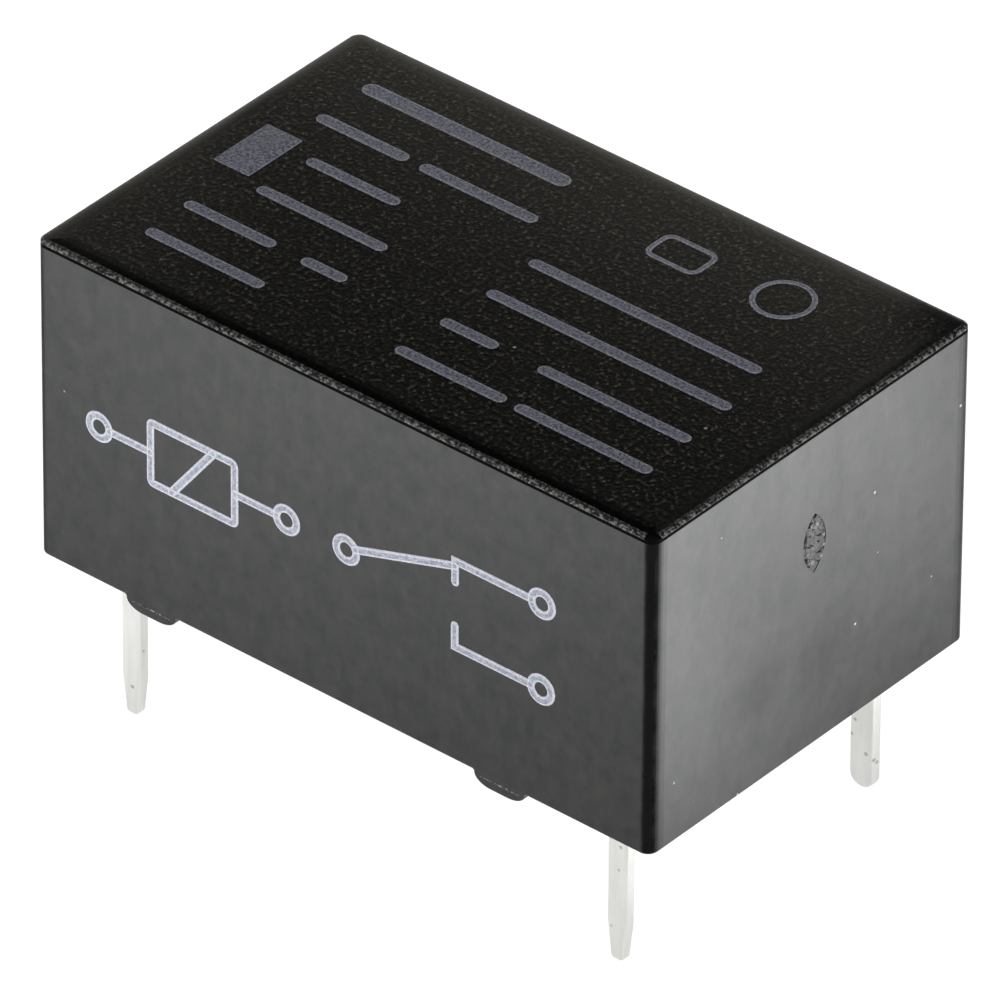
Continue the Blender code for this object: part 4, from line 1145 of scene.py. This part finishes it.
def build_floor():
    """Pale light table: white acrylic lit from below, with painted pools of light where it
    glows brighter beyond the right end and in front on the left.
    """
    made, tree, shader = finish("floor", specular=0.1)
    cloud = noise(tree, 60.0 * MM)
    paint(tree, shader, mix_colour(tree, cloud, FLOOR_GREY, FLOOR_PALE), 0.8)
    shader.inputs["Emission Color"].default_value = (1.0, 1.0, 1.0, 1.0)
    glow = FLOOR_GLOW
    # Painted pools of light: spots where the floor glows brighter
    for centre, radius, strength in FLOOR_LIGHT_POOLS:
        glow = total(tree, soft_spot(tree, (*centre, 0.0), radius, strength), glow)
    feed(tree, shader.inputs["Emission Strength"], glow)
    half = FLOOR_SIZE / 2
    bm = bmesh.new()
    bm.faces.new([bm.verts.new((x, y, 0.0)) for x, y in
                  ((-half, -half), (half, -half), (half, half), (-half, half))])
    object_from("floor", bm, [made])


def build_world():
    """Room that is pale at the horizon and dark above it."""
    world = bpy.data.worlds.new("studio")
    world.use_nodes = True
    bpy.context.scene.world = world
    tree = world.node_tree
    way = add_node(tree, "ShaderNodeTexCoord").outputs["Generated"]
    parts = add_node(tree, "ShaderNodeSeparateXYZ", {"Vector": way})
    share = rise(tree, parts.outputs["Z"], 0.0, HORIZON_HEIGHT)
    colour = mix_colour(tree, share, ROOM_PALE, ROOM_DARK)
    background = tree.nodes["Background"]
    background.inputs["Strength"].default_value = 1.0
    feed(tree, background.inputs["Color"], colour)


def aim(item, place, target):
    """Put a light or camera at a place and point it at the target."""
    item.location = place
    item.rotation_mode = "QUATERNION"
    item.rotation_quaternion = (Vector(target) - Vector(place)).to_track_quat("-Z", "Y")


def build_lights():
    """Soft sun from the front right, and dim panels just above the top's far edges."""
    sun = bpy.data.lights.new("key", "SUN")
    sun.energy = SUN_STRENGTH
    sun.angle = SUN_ANGLE
    key = bpy.data.objects.new("key", sun)
    bpy.context.scene.collection.objects.link(key)
    aim(key, SUN_PLACE, (0.0, 0.0, 0.0))
    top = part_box("cover")[1].z
    for name, values in (("back_panel", BACK_PANEL), ("left_panel", LEFT_PANEL)):
        power, length, place, target = values
        panel = bpy.data.lights.new(name, "AREA")
        panel.energy = power
        panel.color = PANEL_COLOUR
        panel.shape = "RECTANGLE"
        panel.size = length
        panel.size_y = PANEL_HEIGHT
        item = bpy.data.objects.new(name, panel)
        item.visible_camera = False
        bpy.context.scene.collection.objects.link(item)
        aim(item, (*place, PANEL_LEVEL), (*target, top))


def build_camera():
    """Camera at the photograph's viewing angle."""
    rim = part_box("cover")[0].z + FOOT_HEIGHT
    back = Vector((math.sin(CAMERA_AZIMUTH) * math.cos(CAMERA_ELEVATION),
                   -math.cos(CAMERA_AZIMUTH) * math.cos(CAMERA_ELEVATION),
                   math.sin(CAMERA_ELEVATION)))
    level_right = Vector((math.cos(CAMERA_AZIMUTH), math.sin(CAMERA_AZIMUTH), 0.0))
    level_up = back.cross(level_right)
    right = level_right * math.cos(CAMERA_ROLL) + level_up * math.sin(CAMERA_ROLL)
    up = back.cross(right)
    target = right * CAMERA_AIM_RIGHT + up * CAMERA_AIM_UP + Vector((0.0, 0.0, rim))
    lens = bpy.data.cameras.new("camera")
    lens.lens = CAMERA_LENS
    lens.sensor_width = CAMERA_SENSOR
    lens.clip_start = CAMERA_NEAR
    lens.clip_end = CAMERA_FAR
    camera = bpy.data.objects.new("camera", lens)
    bpy.context.scene.collection.objects.link(camera)
    camera.matrix_world = turned(right, up, back, target + back * CAMERA_DISTANCE)
    bpy.context.scene.camera = camera


def turned(right, up, back, place):
    """Matrix of a camera from its three directions and its place."""
    made = Matrix((right, up, back)).transposed().to_4x4()
    made.translation = place
    return made


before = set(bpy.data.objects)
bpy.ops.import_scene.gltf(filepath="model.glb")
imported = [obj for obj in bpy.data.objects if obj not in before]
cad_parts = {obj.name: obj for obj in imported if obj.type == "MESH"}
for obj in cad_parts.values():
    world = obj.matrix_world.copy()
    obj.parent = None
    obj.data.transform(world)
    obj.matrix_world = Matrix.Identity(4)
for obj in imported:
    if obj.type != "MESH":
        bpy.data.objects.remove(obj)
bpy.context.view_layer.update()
finishes = frame_finishes()
dress_frame(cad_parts, finishes)
build_cover(finishes["cover_plastic"])
build_print()
build_floor()
build_world()
build_lights()
build_camera()
bpy.context.scene.view_settings.view_transform = "Standard"
